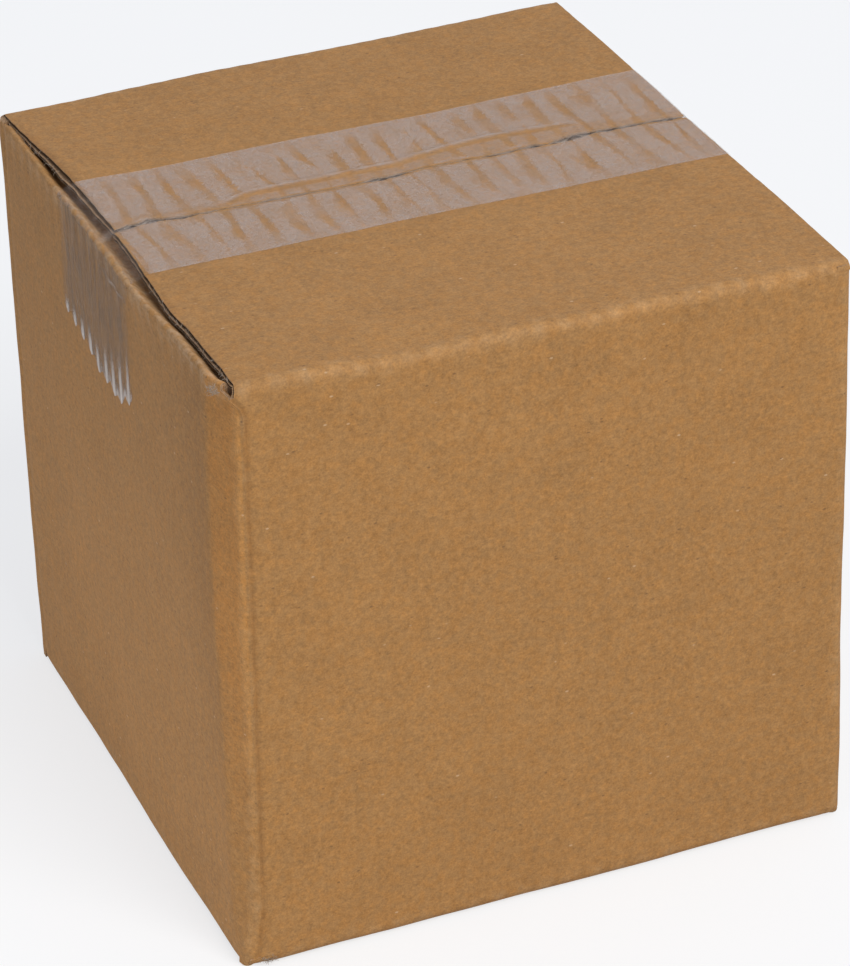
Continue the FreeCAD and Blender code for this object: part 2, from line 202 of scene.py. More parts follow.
class Trace:
    """Line of the sheet's outer skin in a plane, in millimetres.

    Outward is on the right of the heading. Each sample is a place, the outward
    direction, the distance run and the radius left inside a bend, if any.
    """

    PINCH = 0.2

    def __init__(self, start, heading):
        self.place = Vector(start)
        self.heading = Vector(heading)
        self.run = 0.0
        self.samples = []
        self.keep(None)

    def keep(self, radius):
        outward = Vector((self.heading.y, -self.heading.x))
        self.samples.append((self.place.copy(), outward, self.run, radius))

    def straight(self, marks):
        """Go on straight to each mark, a distance from where this stretch starts."""
        start, run = self.place.copy(), self.run
        for mark in marks:
            self.place = start + self.heading * mark
            self.run = run + mark
            self.keep(None)
        return self

    def bend(self, radius, degrees, parts):
        """Turn left by an angle, or right by a negative one, on an arc."""
        turn = math.radians(degrees)
        side = 1 if turn > 0 else -1
        spoke = Vector((self.heading.y, -self.heading.x)) * side
        centre = self.place - spoke * radius
        heading, run = self.heading.copy(), self.run
        for part in range(1, parts + 1):
            spin = Matrix.Rotation(turn * part / parts, 2)
            self.place = centre + spin @ (spoke * radius)
            self.heading = spin @ heading
            self.run = run + abs(turn) * radius * part / parts
            self.keep(radius if side > 0 else None)
        return self

    def finished(self, board):
        """Samples as (place, outward, run, depth, fold), with the board pinched near bends."""
        bends = [(run, radius) for _, _, run, radius in self.samples if radius]
        out = []
        for place, outward, run, _ in self.samples:
            away = min((abs(run - where) for where, _ in bends), default=99.0)
            depth = min((radius - self.PINCH + abs(run - where) for where, radius in bends), default=board)
            out.append((place, outward, run, min(board, depth), math.exp(-away / 1.8)))
        return out


def ladder(length, step, fine=None):
    """Marks along a stretch, a step apart, and closer together near both ends if asked."""
    near, gap, mark = [], fine or step, 0.0
    while gap < step and mark + gap < length / 4:
        mark += gap
        near.append(mark)
        gap *= 1.6
    middle = length - 2 * mark
    count = max(1, math.ceil(middle / step - 0.001))
    marks = near + [mark + middle * index / count for index in range(1, count + 1)]
    return marks + [length - value for value in reversed(near[:-1])] + ([length] if near else [])


class Form:
    """How the folded sheet sits in space: its lines, its swells and its dents."""

    CORNERS = {
        (-1, -1, 0): (-0.55, 0.3, 0.0), (1, -1, 0): (1.7, 1.9, 0.0),
        (-1, 1, 0): (1.6, -1.9, 0.0), (1, 1, 0): (0.0, 0.0, 0.0),
        (-1, -1, 1): (0.0, 0.0, 0.0), (1, -1, 1): (-1.4, -0.2, -1.7),
        (-1, 1, 1): (-0.1, -0.6, -1.5), (1, 1, 1): (-3.3, 1.4, -0.3),
    }

    # Upright creases beside the folds: the axis along the panel, then each one's line, depth and width.
    UPRIGHT_CREASES = {
        "front": (0, ((FRONT_CREASE, 0.4, 0.55), (-FRONT_CREASE, 0.2, 0.8))),
        "back": (0, ((-71.8, 0.3, 0.9),)),
        "left": (1, ((73.0, 0.2, 0.9),)),
        "right": (1, ((-73.4, 0.3, 0.9),)),
    }

    def __init__(self, settings):
        board = settings.board
        low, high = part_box("box_blank")
        self.low, self.high = low / MM, high / MM
        self.half_x = (self.high.x - self.low.x) / 2
        self.half_y = (self.high.y - self.low.y) / 2
        self.foot, self.top = self.low.z, self.high.z
        self.size = {name: getattr(board, name) / MM for name in board.__annotations__}
        self.root_top = self.top - self.size["flap_radius"]
        self.root_foot = self.foot + self.size["foot_radius"]
        self.crest = self.top - self.size["tuck_crest"]

    def seam_end(self, panel):
        """Where the outer flap of a panel ends before its edge is drawn to the seam's line."""
        gap = self.size["seam_gap"] / 2
        return self.size["seam_offset"] + (gap if panel == "back" else -gap)

    def shift(self, panel, end, place):
        """In-plane shift of a place on the sheet."""
        move = Vector((0, 0, 0))
        if end == "top" and panel in ("front", "back"):
            sign = 1 if panel == "back" else -1
            torn = 1 + 0.9 * noise.noise(Vector((place.x * 0.35, 1.5, 0.0)))
            half = along(SEAM_OPENING, place.x) / 2 * torn
            half += 0.3 * noise.noise(Vector((place.x * 0.6, 7.0 * sign, 0.0)))
            wander = 0.35 * noise.noise(Vector((place.x * 0.45, 7.0, 3.0)))
            wanted = along(SEAM_LINE, place.x) + wander + sign * max(0.07, half)
            rest = self.seam_end(panel)
            reach = smooth(sign * self.half_y, rest, place.y)
            move.y = (wanted - rest) * reach * reach
            edge = along(REAR_FLAP_EDGE if panel == "back" else FRONT_FLAP_EDGE, place.y)
            side = self.size["flap_inset"] - self.half_x
            ragged = 0.25 * noise.noise(Vector((place.y * 0.3, 3.0, sign)))
            move.x = (edge + ragged - side) * smooth(-58, side, place.x)
            move.x += (3.3 + ragged * 0.5) * smooth(50, -side, place.x)
        if end == "bottom" and panel in ("front", "back"):
            move.y = 0.4 * noise.noise(Vector((place.x * 0.06, 11.0, 0.0))) * smooth(40, 5, abs(place.y))
            move.x = math.copysign(2.9 * smooth(50, 72, abs(place.x)), place.x)
        return move

    def ripple(self, distance, wander=0.0, seed=0.0):
        """Wave that the flutes push up along a fold, 1 at its crests."""
        turn = 2 * math.pi * distance / self.size["flute_pitch"]
        return math.sin(turn + wander * noise.noise(Vector((distance * 0.05, seed, 0.0))))

    def long_folds(self, panel, end, place, outward):
        """Rippled folds over the front and back panels, and the dents along the front one."""
        x, y, z = place
        inward = smooth(14, 3, self.half_y - abs(y)) if end == "top" else 1.0
        fold = smooth(RIPPLE_FROM, RIPPLE_FULL, z) * inward
        move = outward * ((0.10 if panel == "front" else 0.04) * self.ripple(x, 2.0, 8.0) * fold)
        if panel == "front":
            move.z -= (1.3 * bell(x + 31, 17) + 0.5 * bell(x - 12, 9)) * fold
        return move

    def side_folds(self, panel, place, outward):
        """Top folds of the side panels: the ripple of both, and the left one's crest and lean."""
        x, y, z = place
        if panel == "right":
            return outward * (0.05 * self.ripple(y) * smooth(RIPPLE_FROM, 149, z) * smooth(74, 76, x))
        beside = 1 - smooth(67, 74, abs(y))
        fold = smooth(145, 150, z) * (1 - smooth(-73.5, -70.0, x)) * beside
        lean = 0.2 * smooth(141, 153, z) ** 2 * beside
        lean += along(LEFT_LEAN, y) * smooth(143, 151, z) * (1 - smooth(-73.5, -71.0, x))
        waved = smooth(RIPPLE_FROM, 148, z) * (1 - smooth(-74.5, -73, x))
        move = outward * (0.16 * self.ripple(y, 2.0, 4.0) * waved)
        return move + Vector((-lean, 0, (along(LEFT_CREST, y) - self.crest + 0.1) * fold))

    def flap_relief(self, panel, place):
        """Sag of the outer flaps beside the seam, and the rear one's raised end and crease."""
        x, y, _ = place
        near = abs(y - along(SEAM_LINE, x))
        rise = -0.18 * smooth(6, 0, near) * (0.6 + noise.noise(Vector((x * 0.11, 2.0, y * 0.02))))
        if panel == "back":
            rise += smooth(-50, -72, x) * bell(y - 44, 24) * smooth(6, 16, y)
            window = smooth(-48, -40, x) * (1 - smooth(38, 46, x))
            rise += 0.42 * bell(y - along(CREASE_LINE, x), 1.0) * window
        return Vector((0, 0, rise))

    def knocks(self, place):
        """Crushed top corner and scuffed foot at the front left."""
        rough = noise.noise(place / 2.4) * 0.5
        crushed = bell((place - Vector((-self.half_x, -self.half_y, self.top))).length, 6.5)
        scuffed = bell((place - Vector((-self.half_x, -self.half_y, self.foot))).length, 5.0)
        move = Vector((0.5 + rough, 0.3 - rough, -1.2 + rough)) * crushed
        return move + Vector((0.35 + 0.4 * rough, 0.45, 0.25 + 0.4 * rough)) * scuffed

    def lift(self, panel, end, place, outward):
        """Shift of a place along the sheet's outward direction and at its folds."""
        swell = 0.45 * noise.noise(place / 48 + Vector((3, 1, 2)))
        swell += 0.16 * noise.noise(place / 15) + 0.03 * noise.noise(place / 4.5)
        move = outward * swell
        if end == "wall":
            move += self.corner_fold(place)
        elif panel == "left" and end == "top" and place.y < -50:
            root = Vector((-self.half_x, place.y, self.root_top))
            move += self.corner_fold(root) * (1 - smooth(1, 8, place.x + self.half_x))
        if panel in ("front", "back"):
            move += self.long_folds(panel, end, place, outward)
        elif panel in ("left", "right") and end != "bottom":
            move += self.side_folds(panel, place, outward)
        if end == "top" and panel in ("front", "back"):
            move += self.flap_relief(panel, place)
        if end != "top" and panel in self.UPRIGHT_CREASES:
            axis, creases = self.UPRIGHT_CREASES[panel]
            for line, deep, wide in creases:
                move -= outward * (deep * bell(place[axis] - line, wide))
        return move + self.knocks(place)

    @staticmethod
    def facet_rear(z):
        """Line on the left panel from which the upright fold is flattened."""
        return FACET_REAR - FACET_TAPER * smooth(125, 15, z)

    def painted_facet_shading(self, x, y, z, panel, end):
        """Where the liner is painted lighter (above 0) as a highlight on the flattened facet of the front
        left fold, or browner (below 0) as shade in the crease beside it, behind the facet and where the outer
        flaps bend down at the slit.
        """
        # Painted shade where the outer flaps bend down at the slit.
        if end == "top" and panel in ("front", "back"):
            amount = 0.9 * smooth(8, 20, y) * (1 - smooth(60, 70, y)) + 0.4 * smooth(-8, -20, y)
            return -amount * smooth(-69.8, -71.9, x)
        # Painted shade in the crease beside the front left fold.
        if y < -77.9 and x > -73.5:
            groove = 0.75 + 0.5 * noise.noise(Vector((0.0, 2.0, z * 0.12)))
            return -groove * bell(x - FRONT_CREASE - 0.1, 0.6) * smooth(1, 12, z)
        if x > -74.5:
            return 0.0
        start = self.facet_rear(z)
        lit = smooth(start + 0.6, start - 0.6, y) * smooth(15, 90, z)
        return lit - 0.4 * (1 - lit) * smooth(start + 22, start + 1, y) * smooth(15, 90, z)

    def corner_fold(self, place):
        """Shift that turns the front left corner's even bend into a flattened facet and a ridge."""
        x, y, z = place
        radius = self.size["corner_radius"]
        if x > -48 or y > -50:
            return Vector((0, 0, 0))
        quarter = radius * math.pi / 4
        if y >= radius - self.half_y:
            run = -(y - (radius - self.half_y)) - quarter
        elif x >= radius - self.half_x:
            run = x - (radius - self.half_x) + quarter
        else:
            centre = Vector((radius - self.half_x, radius - self.half_y))
            spoke = Vector((x, y)) - centre
            run = radius * (math.atan2(-spoke.y, -spoke.x)) - quarter
        start = self.facet_rear(z)
        first = (Vector((-self.half_x, start)), -(start - (radius - self.half_y)) - quarter)
        tip = smooth(self.root_top - 4.5, self.root_top, z)
        whole = smooth(self.root_foot, self.root_foot + 14, z)
        bowed = 0.25 * noise.noise(Vector((0, 3, z * 0.05)))
        ridge = (Vector((-73.0 + bowed - 1.7 * tip, -76.7 - 0.4 * tip)), -0.3)
        last = (Vector((-71.6 - 2.9 * tip, -self.half_y)), 2.5)
        if run <= first[1]:
            return Vector((0, 0, 0))
        for (low, low_run), (high, high_run) in ((first, ridge), (ridge, last)):
            if run <= high_run:
                target = low.lerp(high, (run - low_run) / (high_run - low_run))
                return Vector((target.x - x, target.y - y, 0)) * whole
        slide = (last[0].x - (radius - self.half_x + last[1] - quarter)) * smooth(24, 2.5, run)
        return Vector((slide * whole, 0, 0))

    def warp(self, place):
        """The whole box a little out of square."""
        part_x = (place.x + self.half_x) / (2 * self.half_x)
        part_y = (place.y + self.half_y) / (2 * self.half_y)
        part_z = (place.z - self.foot) / (self.top - self.foot)
        move = Vector((0, 0, 0))
        for (side_x, side_y, up), offset in self.CORNERS.items():
            weight = (part_x if side_x > 0 else 1 - part_x) * (part_y if side_y > 0 else 1 - part_y)
            weight *= part_z if up else 1 - part_z
            move += Vector(offset) * weight
        out = place + move
        out.z = max(out.z, self.foot)
        return out

    def settle(self, panel, end, place, outward):
        """Shift that takes a place of the plain folded sheet to the real carton."""
        slid = self.shift(panel, end, place)
        return slid + self.lift(panel, end, place + slid, outward)


def add_object(name, points, faces, slots, materials, floats=None, uvs=None, crease=35.0):
    """Make an object from millimetre points, with point attributes and a map called blank."""
    mesh = bpy.data.meshes.new(name)
    mesh.from_pydata([point * MM for point in points], [], faces)
    for material in materials:
        mesh.materials.append(material)
    mesh.polygons.foreach_set("material_index", slots or [0] * len(faces))
    for key, values in (floats or {}).items():
        mesh.attributes.new(key, "FLOAT", "POINT").data.foreach_set("value", values)
    if uvs:
        layer = mesh.uv_layers.new(name="blank")
        flat = [part for loop in mesh.loops for part in uvs[loop.vertex_index]]
        layer.data.foreach_set("uv", flat)
    mesh.polygons.foreach_set("use_smooth", [True] * len(faces))
    mesh.validate()
    mesh.set_sharp_from_angle(angle=math.radians(crease))
    item = bpy.data.objects.new(name, mesh)
    bpy.context.scene.collection.objects.link(item)
    return item


class Sheet:
    """The folded blank as one closed shell with cut edges of five plies."""

    TAB_END = 8.0    # right panel's tucked flap to the back of the box
    TAB_TRIM = 9.0   # glued tab's end to the top and to the bottom
    PINCHED = 0.4    # first step of the grid beside an upright fold
    LEFT_WORN, WORN = 3.6, 1.8   # how far the liner is rubbed and painted lighter as a highlight from a fold, on the left panel and elsewhere

    def __init__(self, form):
        self.form = form
        self.index = {}
        self.points = []
        self.faces = []

    def vertex(self, key, place, outward, depth, fold, flat, panel, end):
        """Number of the vertex with this key, made at its first use."""
        if key not in self.index:
            self.index[key] = len(self.points)
            self.points.append((place, outward, depth, fold, flat, panel, end))
        return self.index[key]

    def patch(self, rows, upward):
        """Faces between rows of vertices; rows run away from the wall if not upward."""
        for lower, upper in zip(rows, rows[1:]):
            for (a, b), (d, c) in zip(zip(lower, lower[1:]), zip(upper, upper[1:])):
                self.faces.append((a, b, c, d) if upward else (d, c, b, a))

    def build_ring(self):
        """Four panels and the glue tab round the box."""
        form, size = self.form, self.form.size
        step, coarse = size["mesh_step"], size["mesh_step"] * 1.5
        radius, inset, tuck = size["corner_radius"], size["flap_inset"], size["tuck_inset"]
        tab_face = form.half_y - size["board"] - 0.1
        trace = Trace((form.half_x - size["joint_setback"], form.half_y), (-1, 0))
        plan = (
            ("back", inset - size["joint_setback"], 2 * (form.half_x - inset), inset - radius, coarse),
            ("left", tuck - radius, 2 * (form.half_y - tuck), tuck - radius, step),
            ("front", inset - radius, 2 * (form.half_x - inset), inset - radius, step),
            ("right", tuck - radius, 2 * form.half_y - self.TAB_END - tuck,
             tab_face - radius - form.half_y + self.TAB_END, coarse),
        )
        self.spans = {}
        self.owner = []
        for panel, before, flap, after, spacing in plan:
            trace.straight(ladder(before, self.PINCHED))
            first = len(trace.samples) - 1
            trace.straight(ladder(flap, spacing, 0.7))
            self.spans[panel] = (first, len(trace.samples) - 1)
            trace.straight(ladder(after, self.PINCHED))
            self.owner += [panel] * (len(trace.samples) - len(self.owner))
            trace.bend(radius, 90, 7)
        self.owner += [panel] * (len(trace.samples) - len(self.owner))
        self.tab_start = len(trace.samples) - 1
        trace.straight(ladder(size["tab_width"] - radius, 4.0))
        self.owner += ["tab"] * (len(trace.samples) - len(self.owner))
        self.columns = trace.finished(size["board"])
        marks = [0.0] + ladder(form.root_top - form.root_foot, step * 1.4, 0.6)
        heights = [form.root_foot + mark for mark in marks]
        rows = []
        for level, height in enumerate(heights):
            row = []
            for column, (plan_place, outward, run, depth, fold) in enumerate(self.columns):
                place = Vector((plan_place.x, plan_place.y, height))
                ends = min(height - form.root_foot, form.root_top - height)
                upper_left = self.owner[column] == "left" and height > (form.foot + form.top) / 2
                spread = self.LEFT_WORN if upper_left else self.WORN
                # Rubbed wear and a painted highlight near the folds, spread wider on the upper left panel.
                rubbed_and_highlit = max(fold, math.exp(-ends / spread))
                # Painted highlight on the rounded shoulder below the left panel's top fold, rippled by the
                # flutes.
                if self.owner[column] == "left" and height > RIPPLE_FROM:
                    ripple = math.sin(2 * math.pi * plan_place.y / size["flute_pitch"])
                    rubbed_and_highlit = max(rubbed_and_highlit, (1.32 + 0.2 * ripple) * bell(form.root_top - 0.8 - height, 3.2))
                pinch = min(depth, form.size["flap_radius"] - Trace.PINCH + ends)
                if plan_place.x < CORNER_X and plan_place.y < CORNER_Y:
                    pinch = min(pinch, 0.8 + 0.9 * (form.root_top - height))
                row.append(self.vertex((column, "wall", level), place, outward.to_3d(), pinch, rubbed_and_highlit,
                                       (run, height), self.owner[column], "wall"))
            rows.append(row)
        tab_rows = [row[self.tab_start:] for row, height in zip(rows, heights)
                    if self.TAB_TRIM < height < form.top - self.TAB_TRIM]
        self.patch([row[:self.tab_start + 1] for row in rows], True)
        self.patch(tab_rows, True)
        self.levels = {"top": len(heights) - 1, "bottom": 0}

    def build_posts(self):
        """Ends of the upright corners between the slots; the front left one is torn off at the top."""
        edges = sorted(self.spans.values())
        gaps = [(0, edges[0][0])] + [(a[1], b[0]) for a, b in zip(edges, edges[1:])]
        gaps.append((edges[-1][1], self.tab_start))
        torn = gaps.index((self.spans["left"][1], self.spans["front"][0]))
        form = self.form
        plan = (("bottom", form.root_foot, form.size["foot_radius"], -1, (0.3, 0.55, 0.7, 0.85, 0.99)),
                ("top", form.root_top, form.size["flap_radius"], 1, (0.3, 0.55, 0.7)))
        for end, root, radius, away, shares in plan:
            heights = [root + away * radius * share for share in shares]
            for number, (first, last) in enumerate(gaps):
                if end == "top" and number == torn:
                    continue
                rows = [[self.index[(column, "wall", self.levels[end])] for column in range(first, last + 1)]]
                for height in heights:
                    row = []
                    for column in range(first, last + 1):
                        plan_place, outward, run, depth, _ = self.columns[column]
                        run_in = abs(height - root)
                        arc = radius - math.sqrt(radius ** 2 - run_in ** 2)
                        inset = 1.05 * arc * outward.y ** 2 if end == "bottom" else 0.15 * run_in
                        place = (plan_place - outward * inset).to_3d()
                        place.z = height
                        row.append(self.vertex((column, "post" + end, height), place, outward.to_3d(),
                                               min(depth, 2.0), 1.0, (run, height), "post", "wall"))
                    rows.append(row)
                self.patch(rows, end == "top")

    def flap_trace(self, panel, end):
        """Line of a flap away from its panel, as if it were a top one."""
        form, size = self.form, self.form.size
        root = form.root_top if end == "top" else -form.root_foot
        level = form.top if end == "top" else -form.foot
        step = size["mesh_step"] * (1.1 if end == "top" else 2.0)
        trace = Trace((0, root), (0, 1))
        if panel in ("front", "back"):
            trace.bend(level - root, 90, 7)
            end_y = form.seam_end(panel)
            length = form.half_y - abs(end_y) if panel == "back" else form.half_y + end_y
            length -= level - root
            fine = 14.0 if end == "top" else 0.0
            marks = ladder(length - fine, step, 0.5)
            trace.straight(marks + [length - fine + 0.7 * index for index in range(1, int(fine / 0.7) + 1)])
            return trace.finished(size["board"])
        drop = size["heel_lift"]
        if end == "top":
            drop = size["tuck_crest"] if panel == "left" else size["tuck_crest"] + 1.2
        crest = level - drop
        radius = min(crest - root, 0.9)
        under = level - size["board"] - 0.2
        turn = math.radians(45)
        if crest - radius > root + 0.05:
            trace.straight(ladder(crest - radius - root, 0.7))
        trace.bend(radius, 135, 9)
        easing = 2.0 * (1 - math.cos(turn))
        trace.straight(ladder((trace.place.y - under - easing) / math.sin(turn), 1.0))
        trace.bend(2.0, -45, 3)
        trace.straight(ladder(size["tuck_reach"] + trace.place.x, step * 1.6, 0.8))
        return trace.finished(size["board"])

    def build_flap(self, panel, end):
        """One flap, welded to its panel along the fold."""
        first, last = self.spans[panel]
        level = self.levels[end]
        up = 1 if end == "top" else -1
        rows = [[self.index[(column, "wall", level)] for column in range(first, last + 1)]]
        along_wall = self.form.root_top if end == "top" else self.form.root_foot
        for place_out, outward_out, run, depth, fold in self.flap_trace(panel, end)[1:]:
            row = []
            for column in range(first, last + 1):
                plan_place, outward = self.columns[column][:2]
                side = outward.to_3d()
                place = plan_place.to_3d() + side * place_out.x
                place.z = up * place_out.y
                normal = side * outward_out.x + Vector((0, 0, up * outward_out.y))
                edge = 1 - 0.45 * smooth(66, 71, abs(place.x)) if panel in ("front", "back") else 1.0
                key = (column, panel + end, round(run, 5))
                # The left top fold's crest gets a stronger mask: rubbed paper and a painted highlight.
                if panel == "left" and end == "top":
                    fold *= 1 + 0.9 * smooth(-30, -12, place.y) * (1 - smooth(26, 40, place.y))
                row.append(self.vertex(key, place, normal, depth * edge, fold,
                                       (self.columns[column][2], along_wall + up * run), panel, end))
            rows.append(row)
        self.patch(rows, up > 0)

    def rim_profile(self):
        """Cut edge across the board as (share of the depth, recess)."""
        size = self.form.size
        board, liner, recess = size["board"], size["liner"], size["ply_depth"]
        middle = (board - liner) / 2
        stops = ((liner, 0), (liner, recess), (middle, recess), (middle, 0),
                 (middle + liner, 0), (middle + liner, recess), (board - liner, recess), (board - liner, 0))
        return [(depth / board, inset) for depth, inset in stops]

    def open_edges(self):
        """Edges that only one face has, in that face's direction."""
        edges = {}
        for face in self.faces:
            for a, b in zip(face, face[1:] + face[:1]):
                edges[(a, b)] = True
        return [(a, b) for a, b in edges if (b, a) not in edges]

    def edge_stops(self, corner, direction):
        """Cut edge at a vertex as (share of the depth, recess, whether the flutes are open there)."""
        place, _, _, _, _, panel, end = self.points[corner]
        jut = 0.0
        if end == "top" and panel in ("front", "back") and place.x < -70 and direction.x > 0.5:
            jut = 0.9 + 0.4 * noise.noise(Vector((place.y * 0.15, 6.0, 0.0)))
            jut *= along(LEFT_JUT, place.y)
        near_corner = abs(place.x) > 68 and abs(abs(place.y) - self.form.half_y) < 8
        shut = end == "wall" or panel in ("left", "right", "post") or (end == "bottom" and near_corner)
        for share, recess in self.rim_profile():
            if shut:
                recess *= 0.1
            if jut and share > 0.4 and not recess:
                recess = -jut
            yield share, recess, recess > 0 and not shut

    def shell(self):
        """Outer skin, inner skin and the stepped rims between them."""
        form = self.form
        count = len(self.points)
        settled = [form.settle(panel, end, place, outward)
                   for place, outward, _, _, _, panel, end in self.points]
        base = [entry[0] for entry in self.points]
        outer = [form.warp(place + move) for place, move in zip(base, settled)]
        inner = [form.warp(entry[0] - entry[1] * entry[2] + move)
                 for entry, move in zip(self.points, settled)]
        points = outer + inner
        folds = [entry[3] for entry in self.points] * 2
        # Painted light and shade for the creased facet, the creases and the bent flap edges.
        painted_shadings = [form.painted_facet_shading(*entry[0], entry[5], entry[6]) for entry in self.points] * 2
        inside = [0.0] * count + [1.0] * count
        ply = [0.0] * (2 * count)
        flats = [Vector(entry[4]) * MM for entry in self.points] * 2
        faces = list(self.faces)
        faces += [tuple(reversed([corner + count for corner in face])) for face in self.faces]
        slots = [0] * len(self.faces) + [1] * len(self.faces)
        rim = self.open_edges()
        inward = {}
        for a, b in rim:
            heading = (base[b] - base[a]).normalized()
            for corner in (a, b):
                inward[corner] = inward.get(corner, Vector((0, 0, 0))) + self.points[corner][1].cross(heading)
        chains = {}
        for corner, direction in inward.items():
            place, outward, depth, fold, flat = self.points[corner][:5]
            direction = direction.normalized()
            chain = [corner]
            for share, recess, opened in self.edge_stops(corner, direction):
                chain.append(len(points))
                across = direction * recess - outward * depth * share
                points.append(form.warp(place + across + settled[corner]))
                folds.append(fold)
                painted_shadings.append(0.0)
                inside.append(0.0)
                # 1 where the flutes are open, to paint shade in them.
                ply.append(1.0 if opened else 0.0)
                flats.append(Vector(flat) * MM + Vector((depth * share, depth * share)) * MM)
            chains[corner] = chain + [corner + count]
        for a, b in rim:
            sides = zip(chains[a], chains[b], chains[a][1:], chains[b][1:])
            for upper_a, upper_b, lower_a, lower_b in sides:
                faces.append((upper_b, upper_a, lower_a, lower_b))
                slots.append(1)
        return points, faces, slots, {"fold": folds, "inside": inside, "ply": ply, "painted_shading": painted_shadings}, flats


def closed_sheet(rows, columns):
    """Faces of two grids of points, one behind the other, with a rim between them."""
    width, total = columns + 1, (rows + 1) * (columns + 1)
    faces = []
    for row in range(rows):
        for column in range(columns):
            corner = row * width + column
            quad = (corner, corner + 1, corner + width + 1, corner + width)
            faces += [quad, tuple(index + total for index in reversed(quad))]
    outline = list(range(width))
    outline += [row * width + columns for row in range(1, rows + 1)]
    outline += [rows * width + column for column in range(columns - 1, -1, -1)]
    outline += [row * width for row in range(rows - 1, 0, -1)]
    for a, b in zip(outline, outline[1:] + outline[:1]):
        faces.append((b, a, a + total, b + total))
    return faces


def add_node(tree, kind, inputs=None, **settings):
    """Add a node, set it, and fill its inputs with values or other nodes' outputs."""
    made = tree.nodes.new(kind)
    for key, value in settings.items():
        setattr(made, key, value)
    for key, value in (inputs or {}).items():
        if isinstance(value, bpy.types.NodeSocket):
            tree.links.new(value, made.inputs[key])
        else:
            made.inputs[key].default_value = value
    return made


def maths(tree, operation, first, second=0.0, third=0.0, clamp=False):
    """Output of a math node."""
    return add_node(tree, "ShaderNodeMath", {0: first, 1: second, 2: third},
                    operation=operation, use_clamp=clamp).outputs[0]


def remap(tree, value, low, high, to_low=0.0, to_high=1.0):
    """Output of a clamped map range node."""
    return add_node(tree, "ShaderNodeMapRange", {0: value, 1: low, 2: high, 3: to_low, 4: to_high}).outputs[0]


def blend(tree, factor, first, second, kind="MIX"):
    """Output of a colour mix node."""
    made = add_node(tree, "ShaderNodeMix", {0: factor, 6: first, 7: second}, data_type="RGBA",
                    blend_type=kind)
    return made.outputs[2]


def stretch(tree, vector, scale):
    """A vector times a scale for each axis."""
    made = add_node(tree, "ShaderNodeVectorMath", {0: vector, 1: scale}, operation="MULTIPLY")
    return made.outputs[0]


def noise_of(tree, vector, scale, detail=2.0, roughness=0.5):
    """Value of a noise texture."""
    made = add_node(tree, "ShaderNodeTexNoise", {"Vector": vector, "Scale": scale, "Detail": detail,
                                                 "Roughness": roughness})
    return made.outputs[0]


def new_group(name, inputs, outputs):
    """Start a shader node group with float and vector sockets."""
    tree = bpy.data.node_groups.new(name, "ShaderNodeTree")
    for label, kind in inputs:
        tree.interface.new_socket(label, in_out="INPUT", socket_type=kind)
    for label, kind in outputs:
        tree.interface.new_socket(label, in_out="OUTPUT", socket_type=kind)
    return tree, tree.nodes.new("NodeGroupInput"), tree.nodes.new("NodeGroupOutput")


def group_fibres():
    """Paper fibres, cloudiness and flecks of recycled liner."""
    name = "paper_fibres"
    if name in bpy.data.node_groups:
        return bpy.data.node_groups[name]
    tree, source, sink = new_group(
        name, [("Sheet", "NodeSocketVector"), ("Place", "NodeSocketVector")],
        [("Tone", "NodeSocketFloat"), ("Dark", "NodeSocketFloat"), ("Light", "NodeSocketFloat"),
         ("Height", "NodeSocketFloat")])
    sheet, place = source.outputs["Sheet"], source.outputs["Place"]
    fibre = noise_of(tree, stretch(tree, sheet, (820.0, 1250.0, 1.0)), 1.0, 4.0, 0.68)
    grain = noise_of(tree, place, 620.0, 4.0, 0.72)
    cloud = noise_of(tree, place, 75.0, 4.0, 0.6)
    speck = noise_of(tree, place, 2300.0, 1.0, 0.5)
    tone = maths(tree, "MULTIPLY", maths(tree, "SUBTRACT", fibre, 0.5), 0.75)
    tone = maths(tree, "MULTIPLY_ADD", maths(tree, "SUBTRACT", grain, 0.5), 0.85, tone)
    tone = maths(tree, "MULTIPLY_ADD", maths(tree, "SUBTRACT", speck, 0.5), 0.55, tone)
    tone = maths(tree, "MULTIPLY_ADD", maths(tree, "SUBTRACT", cloud, 0.5), 0.26, tone)
    flecks = add_node(tree, "ShaderNodeTexVoronoi", {"Vector": stretch(tree, sheet, (620.0, 1150.0, 1.0)),
                                                     "Scale": 1.0, "Randomness": 1.0})
    pick = add_node(tree, "ShaderNodeSeparateColor", {0: flecks.outputs["Color"]})
    near = remap(tree, flecks.outputs["Distance"], 0.14, 0.36, 1.0, 0.0)
    dark = maths(tree, "MULTIPLY", near, maths(tree, "GREATER_THAN", pick.outputs[0], 0.978))
    light = maths(tree, "MULTIPLY", near, maths(tree, "GREATER_THAN", pick.outputs[1], 0.9945))
    height = maths(tree, "MULTIPLY_ADD", fibre, 0.6, maths(tree, "MULTIPLY", grain, 0.4))
    tree.links.new(tone, sink.inputs["Tone"])
    tree.links.new(dark, sink.inputs["Dark"])
    tree.links.new(light, sink.inputs["Light"])
    tree.links.new(height, sink.inputs["Height"])
    return tree


